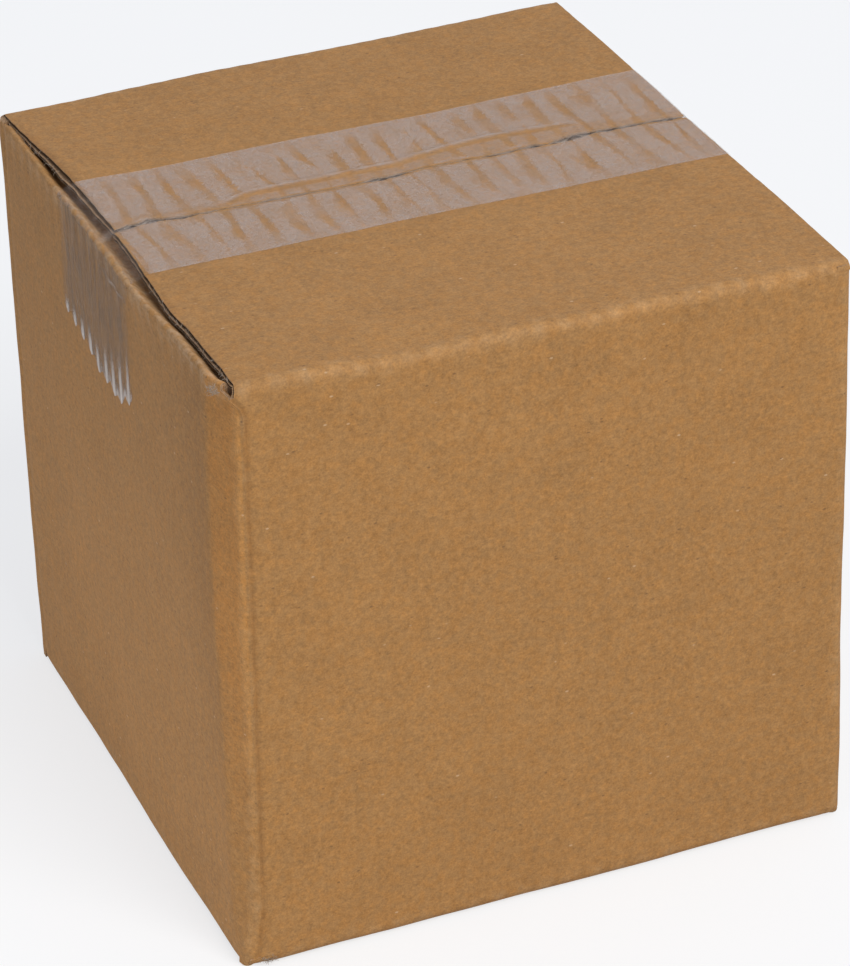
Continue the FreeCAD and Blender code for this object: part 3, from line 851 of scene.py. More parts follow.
def group_flutes():
    """Faint washboard of the flutes under the liner."""
    name = "flute_print"
    if name in bpy.data.node_groups:
        return bpy.data.node_groups[name]
    tree, source, sink = new_group(
        name, [("Sheet", "NodeSocketVector"), ("Pitch", "NodeSocketFloat")],
        [("Wave", "NodeSocketFloat"), ("Strength", "NodeSocketFloat")])
    across = add_node(tree, "ShaderNodeSeparateXYZ", {0: source.outputs["Sheet"]}).outputs[0]
    wander = noise_of(tree, source.outputs["Sheet"], 45.0, 1.0)
    turn = maths(tree, "MULTIPLY", maths(tree, "DIVIDE", across, source.outputs["Pitch"]), 2 * math.pi)
    turn = maths(tree, "MULTIPLY_ADD", wander, 1.6, turn)
    wave = maths(tree, "MULTIPLY_ADD", maths(tree, "SINE", turn), 0.5, 0.5)
    patchy = remap(tree, noise_of(tree, source.outputs["Sheet"], 22.0, 2.0), 0.35, 0.7)
    tree.links.new(wave, sink.inputs["Wave"])
    tree.links.new(patchy, sink.inputs["Strength"])
    return tree


def new_material(name):
    """An empty material and its node tree, with a Principled shader to the output."""
    made = bpy.data.materials.new(name)
    made.use_nodes = True
    tree = made.node_tree
    tree.nodes.clear()
    shader = tree.nodes.new("ShaderNodeBsdfPrincipled")
    end = tree.nodes.new("ShaderNodeOutputMaterial")
    tree.links.new(shader.outputs[0], end.inputs["Surface"])
    return made, tree, shader


def attribute(tree, name):
    """Value of a mesh attribute."""
    return add_node(tree, "ShaderNodeAttribute", attribute_name=name).outputs["Fac"]


def paper_parts(tree, settings):
    """Nodes that the paper materials start with: place, fibres and flute print."""
    sheet = add_node(tree, "ShaderNodeUVMap", uv_map="blank").outputs[0]
    place = add_node(tree, "ShaderNodeTexCoord").outputs["Object"]
    fibres = add_node(tree, "ShaderNodeGroup", node_tree=group_fibres())
    tree.links.new(sheet, fibres.inputs["Sheet"])
    tree.links.new(place, fibres.inputs["Place"])
    flutes = add_node(tree, "ShaderNodeGroup", node_tree=group_flutes())
    tree.links.new(sheet, flutes.inputs["Sheet"])
    flutes.inputs["Pitch"].default_value = settings.board.flute_pitch
    return place, fibres, flutes


def make_kraft(settings):
    """Outer liner: brown recycled kraft, rubbed pale on the folds, with painted highlights on the folds,
    painted light and shade on the creased facet and bent flap edges, and painted washboard shade along the
    flutes.
    """
    made, tree, shader = new_material("kraft_liner")
    place, fibres, flutes = paper_parts(tree, settings)
    look = settings.look
    fold = attribute(tree, "fold")
    rub = noise_of(tree, place, 260.0, 4.0, 0.65)
    rub = maths(tree, "MULTIPLY_ADD", flutes.outputs["Wave"], 0.22, rub)
    # Paler where folds are rubbed, which also paints the highlight on the rounded folds.
    wear_and_highlight = maths(tree, "MULTIPLY", remap(tree, fold, 0.3, 1.0), remap(tree, rub, 0.5, 0.85))
    wear_and_highlight = maths(tree, "MULTIPLY", wear_and_highlight, 0.42)
    # Pale scuff on the left panel's top fold, which also paints its highlight.
    scuff_and_highlight = remap(tree, noise_of(tree, place, 420.0, 4.0, 0.7), 0.42, 0.66)
    scuff_and_highlight = maths(tree, "MULTIPLY", remap(tree, fold, 1.0, 1.7), scuff_and_highlight)
    tone = maths(tree, "ADD", fibres.outputs["Tone"], 1.0)
    # Painted shade and light in stripes along the flutes, standing in for the washboard relief.
    washboard_shade = maths(tree, "MULTIPLY", maths(tree, "SUBTRACT", flutes.outputs["Wave"], 0.5),
                   maths(tree, "MULTIPLY", flutes.outputs["Strength"], 0.035))
    tone = maths(tree, "ADD", tone, washboard_shade)
    colour = blend(tree, wear_and_highlight, (*look.kraft, 1), (*look.rubbed_and_highlit, 1))
    shade = add_node(tree, "ShaderNodeVectorMath", {0: colour}, operation="SCALE")
    tree.links.new(tone, shade.inputs["Scale"])
    # Painted light on the flattened facet where the mask is above 0, painted shade in creases and at bent
    # flap edges where it is below 0.
    painted_shading = attribute(tree, "painted_shading")
    lit = blend(tree, painted_shading, shade.outputs[0], stretch(tree, shade.outputs[0], (1.2, 1.1, 0.9)))
    lit = blend(tree, maths(tree, "MULTIPLY", painted_shading, -1.0), lit, stretch(tree, lit, (0.80, 0.76, 0.70)))
    hue = remap(tree, noise_of(tree, place, 430.0, 4.0, 0.65), 0.4, 0.62)
    greyer, redder = stretch(tree, lit, (0.98, 1.0, 1.05)), stretch(tree, lit, (1.025, 0.975, 0.87))
    tinted = blend(tree, hue, greyer, redder)
    over = ((fibres.outputs["Dark"], 0.55, (0.10, 0.05, 0.024, 1)), (scuff_and_highlight, 0.5, (0.62, 0.44, 0.28, 1)),
            (fibres.outputs["Light"], 0.5, (0.72, 0.52, 0.33, 1)))
    colour = tinted
    for mask, share, tint in over:
        colour = blend(tree, maths(tree, "MULTIPLY", mask, share), colour, tint)
    tree.links.new(colour, shader.inputs["Base Color"])
    rough = maths(tree, "MULTIPLY_ADD", fibres.outputs["Height"], 0.2, 0.66)
    tree.links.new(rough, shader.inputs["Roughness"])
    shader.inputs["Specular IOR Level"].default_value = 0.45
    height = maths(tree, "MULTIPLY_ADD", flutes.outputs["Wave"],
                   maths(tree, "MULTIPLY", flutes.outputs["Strength"], 0.6), fibres.outputs["Height"])
    bump = add_node(tree, "ShaderNodeBump", {"Strength": 0.32, "Distance": 0.00012, "Height": height})
    tree.links.new(bump.outputs[0], shader.inputs["Normal"])
    return made


def make_raw(settings):
    """Cut plies and the inside of the board: greyer, rougher paper, with painted shade in the open flutes."""
    made, tree, shader = new_material("raw_board")
    _, fibres, _ = paper_parts(tree, settings)
    look = settings.look
    deep = remap(tree, attribute(tree, "ply"), 0.02, 0.3)
    inner = attribute(tree, "inside")
    colour = blend(tree, inner, (*look.raw, 1), (*look.kraft, 1))
    shade = add_node(tree, "ShaderNodeVectorMath", {0: colour}, operation="SCALE")
    tree.links.new(maths(tree, "MULTIPLY_ADD", fibres.outputs["Tone"], 1.4, 1.0), shade.inputs["Scale"])
    # Painted shade, nearly black, in the open flutes of the cut edges.
    colour = blend(tree, maths(tree, "MULTIPLY", deep, 0.93), shade.outputs[0], (0.11, 0.06, 0.028, 1))
    tree.links.new(colour, shader.inputs["Base Color"])
    shader.inputs["Roughness"].default_value = 0.88
    shader.inputs["Specular IOR Level"].default_value = 0.2
    bump = add_node(tree, "ShaderNodeBump", {"Strength": 0.5, "Distance": 0.0002,
                                             "Height": fibres.outputs["Height"]})
    tree.links.new(bump.outputs[0], shader.inputs["Normal"])
    return made


def make_fibre(settings):
    """Loose fibres and corrugated medium: greyish, unsized paper."""
    made, tree, shader = new_material("loose_fibre")
    place = add_node(tree, "ShaderNodeTexCoord").outputs["Object"]
    grain = noise_of(tree, place, 900.0, 3.0, 0.6)
    colour = blend(tree, remap(tree, grain, 0.35, 0.65), (0.33, 0.255, 0.185, 1), (0.47, 0.385, 0.31, 1))
    tree.links.new(colour, shader.inputs["Base Color"])
    shader.inputs["Roughness"].default_value = 0.9
    shader.inputs["Specular IOR Level"].default_value = 0.2
    bump = add_node(tree, "ShaderNodeBump", {"Strength": 0.3, "Distance": 0.0001, "Height": grain})
    tree.links.new(bump.outputs[0], shader.inputs["Normal"])
    return made


def group_haze():
    """Pale haze where film has not wetted the paper, cut by brown bars, and streaks on hanging ends."""
    name = "film_haze"
    if name in bpy.data.node_groups:
        return bpy.data.node_groups[name]
    tree, source, sink = new_group(
        name,
        [("Film", "NodeSocketVector"), ("Pitch", "NodeSocketFloat"), ("Wet", "NodeSocketFloat"),
         ("Hang", "NodeSocketFloat")],
        [("Haze", "NodeSocketFloat"), ("Height", "NodeSocketFloat")])
    film, wet = source.outputs["Film"], source.outputs["Wet"]
    split = add_node(tree, "ShaderNodeSeparateXYZ", {0: film})
    wander = noise_of(tree, stretch(tree, film, (1.0, 0.4, 1.0)), 60.0, 1.0, 0.5)
    shiver = noise_of(tree, stretch(tree, film, (1.0, 1.5, 1.0)), 1200.0, 3.0, 0.75)
    phase = maths(tree, "DIVIDE", split.outputs[0], source.outputs["Pitch"])
    phase = maths(tree, "MULTIPLY_ADD", wander, 1.1, phase)
    phase = maths(tree, "MULTIPLY_ADD", shiver, 0.75, phase)
    saw = maths(tree, "FRACT", phase)
    uneven = noise_of(tree, stretch(tree, film, (1.0, 0.45, 1.0)), 150.0, 2.0, 0.5)
    width = maths(tree, "MAXIMUM", maths(tree, "MULTIPLY_ADD", uneven, 2.0, -0.55), 0.07)
    bar = remap(tree, saw, maths(tree, "MULTIPLY", width, 0.45), width, 0.95, 0.0)
    bar = maths(tree, "MULTIPLY", bar, remap(tree, saw, 0.0, 0.05))
    fade = remap(tree, maths(tree, "MULTIPLY_ADD", uneven, 0.4, wet), 0.25, 0.55, 0.3, 1.0)
    some = remap(tree, noise_of(tree, film, 85.0, 2.0, 0.5), 0.32, 0.6, 0.45, 1.0)
    fade = maths(tree, "MULTIPLY", fade, some)
    bars = maths(tree, "SUBTRACT", 1.0, maths(tree, "MULTIPLY", bar, fade))
    patch = remap(tree, noise_of(tree, film, 130.0, 5.0, 0.7), 0.3, 0.62, 0.55, 1.0)
    grain = remap(tree, noise_of(tree, film, 1000.0, 4.0, 0.75), 0.34, 0.66, 0.5, 1.3)
    patch = maths(tree, "MULTIPLY", patch, grain)
    bars = maths(tree, "MULTIPLY", bars, patch)
    bars = maths(tree, "MULTIPLY", bars, remap(tree, wet, 0.93, 1.0, 1.0, 0.5))
    # Wet above 1 clears the haze; in front of the crease this is painted shade.
    bars = maths(tree, "MULTIPLY", bars, remap(tree, wet, 1.01, 1.08, 1.0, 0.08))
    streak = noise_of(tree, stretch(tree, film, (0.12, 1.0, 1.0)), 700.0, 3.0, 0.6)
    streak = maths(tree, "MULTIPLY", remap(tree, streak, 0.35, 0.75, 0.15, 1.0),
                   remap(tree, wet, 0.0, 1.0, 0.15, 1.0))
    mixed = add_node(tree, "ShaderNodeMix", {0: source.outputs["Hang"], 2: bars, 3: streak}).outputs[0]
    tree.links.new(mixed, sink.inputs["Haze"])
    tree.links.new(maths(tree, "MULTIPLY_ADD", shiver, 0.4, mixed), sink.inputs["Height"])
    return tree


def make_film(settings):
    """Clear packing film: nearly invisible where it has wetted the paper, milky where it has not."""
    made, tree, shader = new_material("packing_film")
    film = add_node(tree, "ShaderNodeUVMap", uv_map="blank").outputs[0]
    haze = add_node(tree, "ShaderNodeGroup", node_tree=group_haze())
    tree.links.new(film, haze.inputs["Film"])
    tree.links.new(attribute(tree, "wet"), haze.inputs["Wet"])
    tree.links.new(attribute(tree, "hang"), haze.inputs["Hang"])
    haze.inputs["Pitch"].default_value = settings.board.flute_pitch * 1.1
    air_and_highlight = attribute(tree, "air_and_highlight")
    hang = attribute(tree, "hang")
    cover = maths(tree, "MULTIPLY_ADD", haze.outputs["Haze"], 0.31, 0.02)
    cover = maths(tree, "MULTIPLY_ADD", air_and_highlight, 0.5, cover, clamp=True)
    # Pale colour of trapped air, also used for the painted highlight along the crease.
    colour = blend(tree, hang, (*settings.look.haze, 1), (0.25, 0.19, 0.14, 1))
    colour = blend(tree, remap(tree, air_and_highlight, 0.05, 0.5), colour, (0.80, 0.72, 0.66, 1))
    tree.links.new(colour, shader.inputs["Base Color"])
    tree.links.new(cover, shader.inputs["Alpha"])
    rough = maths(tree, "MULTIPLY_ADD", haze.outputs["Haze"], 0.2, 0.28)
    tree.links.new(rough, shader.inputs["Roughness"])
    shader.inputs["IOR"].default_value = 1.47
    bump = add_node(tree, "ShaderNodeBump", {"Strength": 0.12, "Distance": 0.0003,
                                             "Height": haze.outputs["Height"]})
    tree.links.new(bump.outputs[0], shader.inputs["Normal"])
    return made


def material(key, settings):
    """One of the carton's materials, made when it is first asked for."""
    makers = {"kraft_liner": make_kraft, "raw_board": make_raw, "packing_film": make_film,
              "loose_fibre": make_fibre}
    return bpy.data.materials.get(key) or makers[key](settings)


def new_growth(name, inputs):
    """Start a geometry node group that takes and gives geometry."""
    tree = bpy.data.node_groups.new(name, "GeometryNodeTree")
    tree.interface.new_socket("Geometry", in_out="INPUT", socket_type="NodeSocketGeometry")
    for label, kind in inputs:
        tree.interface.new_socket(label, in_out="INPUT", socket_type=kind)
    tree.interface.new_socket("Geometry", in_out="OUTPUT", socket_type="NodeSocketGeometry")
    return tree, tree.nodes.new("NodeGroupInput"), tree.nodes.new("NodeGroupOutput")


def end_growth(tree, sink, geometry, paper):
    """Close a geometry node group: real geometry with its material."""
    real = add_node(tree, "GeometryNodeRealizeInstances", {0: geometry})
    dressed = add_node(tree, "GeometryNodeSetMaterial", {"Geometry": real.outputs[0], "Material": paper})
    tree.links.new(dressed.outputs[0], sink.inputs[0])


def grow(name, mesh, tree, values):
    """Run a geometry node group over a mesh and keep what it makes as a plain mesh."""
    seed = bpy.data.objects.new(name + "_seed", mesh)
    bpy.context.scene.collection.objects.link(seed)
    modifier = seed.modifiers.new("grow", "NODES")
    modifier.node_group = tree
    for socket in tree.interface.items_tree:
        if socket.in_out == "INPUT" and socket.name in values:
            modifier[socket.identifier] = values[socket.name]
    grown = seed.evaluated_get(bpy.context.evaluated_depsgraph_get())
    plain_mesh = bpy.data.meshes.new_from_object(grown)
    seed.modifiers.remove(modifier)
    bpy.data.objects.remove(seed)
    plain_mesh.name = name
    if not plain_mesh.polygons:
        raise RuntimeError(name + " grew nothing")
    item = bpy.data.objects.new(name, plain_mesh)
    bpy.context.scene.collection.objects.link(item)
    return item


def growth_fibres(paper):
    """Loose paper fibres standing on torn edges."""
    tree, source, sink = new_growth("torn_fibres", [
        ("Density", "NodeSocketFloat"), ("Length", "NodeSocketFloat"), ("Radius", "NodeSocketFloat"),
        ("Seed", "NodeSocketInt")])
    spots = add_node(tree, "GeometryNodeDistributePointsOnFaces", {
        "Mesh": source.outputs["Geometry"], "Density": source.outputs["Density"],
        "Seed": source.outputs["Seed"]})
    length = source.outputs["Length"]
    bow = add_node(tree, "ShaderNodeCombineXYZ", {0: maths(tree, "MULTIPLY", length, 0.35),
                                                  2: maths(tree, "MULTIPLY", length, 0.45)})
    tip = add_node(tree, "ShaderNodeCombineXYZ", {0: maths(tree, "MULTIPLY", length, 0.95),
                                                  1: maths(tree, "MULTIPLY", length, 0.2),
                                                  2: maths(tree, "MULTIPLY", length, 0.25)})
    strand = add_node(tree, "GeometryNodeCurveQuadraticBezier", {
        "Resolution": 6, "Middle": bow.outputs[0], "End": tip.outputs[0]})
    strand.inputs["Start"].default_value = (0, 0, 0)
    ring = add_node(tree, "GeometryNodeCurvePrimitiveCircle", {
        "Resolution": 4, "Radius": source.outputs["Radius"]})
    fibre = add_node(tree, "GeometryNodeCurveToMesh", {
        "Curve": strand.outputs[0], "Profile Curve": ring.outputs[0], "Fill Caps": True})
    turn = add_node(tree, "FunctionNodeRandomValue", {
        "Seed": source.outputs["Seed"]}, data_type="FLOAT_VECTOR")
    turn.inputs[0].default_value = (-0.7, -0.7, 0.0)
    turn.inputs[1].default_value = (0.7, 0.9, 6.28)
    spun = add_node(tree, "FunctionNodeRotateRotation", {0: spots.outputs["Rotation"]},
                    rotation_space="LOCAL")
    tree.links.new(turn.outputs[0], spun.inputs[1])
    size = add_node(tree, "FunctionNodeRandomValue", {"Seed": source.outputs["Seed"]}, data_type="FLOAT")
    size.inputs[2].default_value = 0.4
    size.inputs[3].default_value = 1.3
    copies = add_node(tree, "GeometryNodeInstanceOnPoints", {
        "Points": spots.outputs["Points"], "Instance": fibre.outputs[0], "Rotation": spun.outputs[0]})
    tree.links.new(size.outputs[1], copies.inputs["Scale"])
    end_growth(tree, sink, copies.outputs[0], paper)
    return tree


def growth_flutes(paper):
    """Corrugated medium along a raw end: a wavy ribbon with the paper's thickness."""
    tree, source, sink = new_growth("wavy_medium", [
        ("Pitch", "NodeSocketFloat"), ("Swing", "NodeSocketFloat"), ("Depth", "NodeSocketFloat"),
        ("Paper", "NodeSocketFloat")])
    place = tree.nodes.new("GeometryNodeInputPosition").outputs[0]
    length = add_node(tree, "ShaderNodeSeparateXYZ", {0: place}).outputs[0]
    turn = maths(tree, "MULTIPLY", maths(tree, "DIVIDE", length, source.outputs["Pitch"]), 2 * math.pi)
    rise = maths(tree, "MULTIPLY", maths(tree, "SINE", turn), source.outputs["Swing"])
    wave = add_node(tree, "GeometryNodeSetPosition", {
        "Geometry": source.outputs["Geometry"],
        "Offset": add_node(tree, "ShaderNodeCombineXYZ", {2: rise}).outputs[0]})
    inward = add_node(tree, "GeometryNodeInputNamedAttribute", {"Name": "inward"},
                      data_type="FLOAT_VECTOR")
    ribbon = add_node(tree, "GeometryNodeExtrudeMesh", {
        "Mesh": wave.outputs[0], "Offset": inward.outputs[0],
        "Offset Scale": source.outputs["Depth"]}, mode="EDGES")
    thick = add_node(tree, "GeometryNodeExtrudeMesh", {
        "Mesh": ribbon.outputs[0], "Offset Scale": source.outputs["Paper"],
        "Individual": False}, mode="FACES")
    under = add_node(tree, "GeometryNodeFlipFaces", {0: ribbon.outputs[0]})
    both = tree.nodes.new("GeometryNodeJoinGeometry")
    tree.links.new(thick.outputs[0], both.inputs[0])
    tree.links.new(under.outputs[0], both.inputs[0])
    welded = add_node(tree, "GeometryNodeMergeByDistance", {0: both.outputs[0], "Distance": 0.00001})
    end_growth(tree, sink, welded.outputs[0], paper)
    return tree


def keep_piece(item, node):
    """Let a piece ride with the carton and stand in for its CAD node."""
    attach(item, "root")
    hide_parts(node)


class TopFilm:
    """The top tape as a thin closed film draped over the carton."""

    ARC = 1.3      # radius over the box's side edges
    CLEAR = 0.05   # film to board
    ACROSS = 0.5   # spacing of the grid across the film

    def __init__(self, form, settings):
        self.form = form
        tape = settings.tape
        self.size = {name: getattr(tape, name) / MM for name in tape.__annotations__}
        low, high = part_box("top_tape")
        self.low, self.high = low / MM, high / MM
        self.spring = form.top - self.ARC
        self.hang_left = form.top - self.low.z
        self.hang_right = self.size["hang_right"]

    def side_line(self, x, z):
        """Front and rear edge of the film at a place along it."""
        part = smooth(-self.form.half_x, self.form.half_x, x)
        ragged = 0.12 * noise.noise(Vector((x * 0.12, 5.0, 0.0)))
        drawn_in = 4.0 * smooth(151.5, 142, z) if x < 0 else 0.0
        return -19.8 + 1.9 * part + drawn_in + ragged, 31.3 + 0.6 * part + ragged

    def tooth(self, y):
        """Zigzag of the cutter's teeth, 0 at a tip and 1 in a notch."""
        phase = (y / self.size["teeth"] + 0.12 * noise.noise(Vector((y * 0.2, 1.0, 0.0)))) % 1.0
        return abs(2 * phase - 1)

    def torn(self, y, left):
        """Height of the film's torn end at a place across it."""
        if left:
            return along(TORN_LEFT, y) + 2.2 * self.tooth(y) + 0.5 * noise.noise(Vector((y * 1.7, 0, 0)))
        level = self.form.top - self.hang_right
        return level + 1.6 * self.tooth(y) + 0.03 * (y - 7) + 0.3 * noise.noise(Vector((y * 1.3, 9, 0)))

    def wetted_and_shaded(self, x, y, z, front, rear):
        """From 0 at the film's edge to 1 in the band pressed down along the seam, and a little above 1 on a
        thin line in front of the crease, where clearing the haze paints the crease's shade.
        """
        seam = along(SEAM_LINE, x)
        if z < self.spring:
            return smooth(0, 5, min(rear - y, y - front))
        if x < -70.9:
            return 1.1
        if y > seam:
            window = smooth(-60, -44, x) * (1 - smooth(42, 60, x))
            ridge = along(CREASE_LINE, x)
            inner = seam + 2.5 + (ridge - seam - 2.5) * window
            if y < inner:
                # A little above 1 in front of the crease: the haze is cleared there as painted shade.
                return 1.0 + 0.1 * bell(y - ridge + 1.6, 0.9) * window
            return min(1.0, max(0.0, (rear - y) / (rear - inner)))
        return min(1.0, max(0.0, (y - front) / (seam - 0.4 - front)))

    def drape(self, place, outward):
        """Shift that lays the film on the carton under it, straight across openings."""
        form = self.form
        seam = along(SEAM_LINE, place.x)
        share = smooth(seam - 1.2, seam + 1.2, place.y)
        flat = Vector((max(-72.0, min(72.0, place.x)), place.y, form.top))
        up = Vector((0, 0, 1))
        front = form.lift("front", "top", flat, up).z
        back = form.lift("back", "top", flat, up).z
        over = front + (back - front) * share
        left = place.x < 0
        panel = "left" if left else "right"
        side_out = Vector((-1, 0, 0)) if left else Vector((1, 0, 0))
        wall = Vector((-form.half_x if left else form.half_x, place.y, min(place.z, self.spring)))
        beside = form.lift(panel, "wall", wall, side_out).x
        on_top = max(0.0, outward.z)
        near = bell(place.y - seam, 2.5)
        sag = (0.16 * noise.noise(Vector((place.x * 0.5, place.y * 0.9, 3))) * near
               - 0.25 * bell(place.y - seam, 0.7)) * on_top
        loose = 0.10 * noise.noise(place / 3.0) * (1 - abs(2 * on_top - 1))
        drop = 0.0
        if left:
            drop = form.top - along(LEFT_CREST, place.y) - 0.2
            drop *= (1 - smooth(-75.0, -72.2, place.x)) * smooth(140, 150, place.z)
            over *= smooth(-75.5, -72.5, place.x)
        return Vector((beside * (1 - on_top), 0, (over + sag) * on_top - drop)) + outward * loose

    def pull_to_end(self, place):
        """Draw a place on a hanging end to the torn length, and tell how much air is under it."""
        y, left = place.y, place.x < 0
        hang = self.hang_left if left else self.hang_right
        end = self.torn(y, left)
        part = (self.spring - place.z) / (self.spring - (self.form.top - hang))
        place.z = self.spring - part * (self.spring - end)
        lower = 5 + 11 * smooth(30, -14, y) if left else 7
        rise = place.z - end
        air_and_highlight = smooth(0.62, 0.05, self.tooth(y)) * smooth(lower, 0, rise)
        return max(air_and_highlight, 0.5 * smooth(3.5, 0.5, rise) * smooth(20, -10, y if left else 5))

    def strained(self, place, outward):
        """Air where the film is strained over the left fold and beside the seam, and a painted highlight
        along the crease.
        """
        x, y, z = place
        air_and_highlight = 0.0
        if x < -71.4 and outward.z > 0.9:
            strand = noise.noise(Vector((x * 2.2, y * 0.55, 8))) + 0.2 * noise.noise(place)
            air_and_highlight = max(0.08 * smooth(0.15, 0.5, strand), 0.16 * bell(y - 3.8, 1.5))
        if x < -72:
            rub = 0.55 + 0.9 * noise.noise(Vector((3, y * 0.5, 1)))
            rub += 0.6 * noise.noise(Vector((3, y * 1.9, 1)))
            bend = 1 - abs(2 * outward.z - 1)
            graze = bell(z - 147.5 - 0.12 * y, 0.5) * smooth(-18, -14, y) * smooth(6, -4, y)
            return max(air_and_highlight, 0.36 * min(1.0, max(0.0, rub)) * bend, 0.3 * graze)
        if x < 45 and outward.z > 0.9:
            # Painted highlight along the raised crease behind the seam.
            near = y - along(CREASE_LINE, x) - 0.4 * noise.noise(Vector((x * 0.25, 2, 4)))
            broken = 0.5 + 0.5 * smooth(-0.25, 0.25, noise.noise(Vector((x * 0.13, 9, 2))))
            crease = 0.4 * bell(near, 0.45) * broken * smooth(-50, -42, x)
            broken = smooth(-0.1, 0.3, noise.noise(Vector((x * 0.21, 5, 6))))
            fringe = 0.3 * bell(y - along(SEAM_LINE, x) - 1.3, 0.35) * broken
            return max(air_and_highlight, crease, fringe)
        return air_and_highlight

    def build(self):
        """Points, faces, shares for the material and flat places of the film."""
        form = self.form
        step = self.size["mesh_step"]
        trace = Trace((form.half_x, form.top - self.hang_right), (0, 1))
        side = ladder(self.spring - trace.place.y, step * 1.4, 0.5)
        trace.straight(side).bend(self.ARC, 90, 8)
        trace.straight(ladder(2 * (form.half_x - self.ARC), step * 1.5)).bend(self.ARC, 90, 8)
        trace.straight(ladder(self.spring - (form.top - self.hang_left), step, 0.5))
        columns = int(self.size["width"] / self.ACROSS)
        points, flats, wets, hangs, airs_and_highlights = [], [], [], [], []
        for offset in (self.CLEAR + self.size["film"], self.CLEAR):
            for place_out, outward_out, run, _ in trace.samples:
                front, rear = self.side_line(place_out.x, place_out.y)
                outward = Vector((outward_out.x, 0, outward_out.y))
                for column in range(columns + 1):
                    y = front + (rear - front) * column / columns
                    place = Vector((place_out.x, y, place_out.y))
                    air_and_highlight = self.pull_to_end(place) if place.z < self.spring else 0.0
                    move = self.drape(place, outward)
                    points.append(form.warp(place + move + outward * offset))
                    flats.append(Vector((run, y)) * MM)
                    wets.append(self.wetted_and_shaded(place.x, y, place.z, front, rear))
                    hangs.append(1 - smooth(0.55, 0.95, outward.z))
                    airs_and_highlights.append(max(air_and_highlight, self.strained(place, outward)))
        faces = closed_sheet(len(trace.samples) - 1, columns)
        return points, faces, {"wet": wets, "hang": hangs, "air_and_highlight": airs_and_highlights}, flats


class CARTON_OT_add_box(Operator):
    """Add the folded carton as one sheet."""

    bl_idname = "carton.add_box"
    bl_label = "Add carton"

    def execute(self, context):
        settings = context.scene.carton
        sheet = Sheet(Form(settings))
        sheet.build_ring()
        sheet.build_posts()
        for end in ("top", "bottom"):
            for panel in ("front", "back", "left", "right"):
                sheet.build_flap(panel, end)
        points, faces, slots, floats, flats = sheet.shell()
        materials = [material("kraft_liner", settings), material("raw_board", settings)]
        item = add_object("carton_blank", points, faces, slots, materials, floats, flats)
        keep_piece(item, "box_blank")
        return {"FINISHED"}


class CARTON_OT_add_fibres(Operator):
    """Add loose fibres on the torn corners and cut edges."""

    bl_idname = "carton.add_fibres"
    bl_label = "Add torn fibres"

    DENSITY = 1.6e7   # fibres for each square metre of frayed edge
    STRETCH = 3       # length of one patch along a frayed edge
    # Places where paper is frayed, as (panel, end, low corner, high corner, outward).
    FRAYS = (
        ("front", "top", (-76.7, -74.2, 150.8), (-75.9, -71.4, 151.4), (-0.5, -0.5, 0.7)),
        ("front", "top", (-76.3, -74.8, 150.8), (-75.0, -72.0, 151.4), (-0.5, -0.5, 0.7)),
        ("front", "top", (-72.5, -74.0, 152.4), (-72.4, -24.0, 152.5), (-0.8, 0.0, 0.6)),
        ("back", "top", (-73.0, 34.0, 152.0), (-72.9, 70.0, 152.1), (-0.7, 0.0, 0.7)),
        ("front", "wall", (-72.5, -78.0, 1.6), (-68.5, -78.0, 2.9), (-0.3, -1.0, 0.1)),
        ("back", "wall", (74.4, 78.0, 6.0), (74.45, 78.0, 146.0), (0.8, 0.6, 0.0)),
    )

    def execute(self, context):
        settings = context.scene.carton
        form = Form(settings)
        points, faces = [], []
        for panel, end, low, high, outward in self.FRAYS:
            normal = Vector(outward).normalized()
            low, high = Vector(low), Vector(high)
            long = Vector((0, 0, 0))
            axis = max(range(3), key=lambda part: high[part] - low[part])
            long[axis] = high[axis] - low[axis]
            short = (high - low) - long
            steps = max(1, int(long.length / self.STRETCH))
            for step in range(steps):
                first = low + long * (step / steps)
                last = low + long * ((step + 1) / steps)
                corners = [first, last, last + short, first + short]
                if (corners[1] - corners[0]).cross(corners[2] - corners[1]).dot(normal) < 0:
                    corners.reverse()
                base = len(points)
                for corner in corners:
                    move = form.settle(panel, end, corner, normal)
                    points.append(form.warp(corner + move) * MM)
                faces.append((base, base + 1, base + 2, base + 3))
        mesh = bpy.data.meshes.new("fray_seed")
        mesh.from_pydata(points, [], faces)
        tree = growth_fibres(material("loose_fibre", settings))
        item = grow("carton_fibres", mesh, tree, {
            "Density": self.DENSITY, "Length": 0.9 * MM, "Radius": 0.035 * MM, "Seed": 5})
        keep_piece(item, "box_blank")
        return {"FINISHED"}


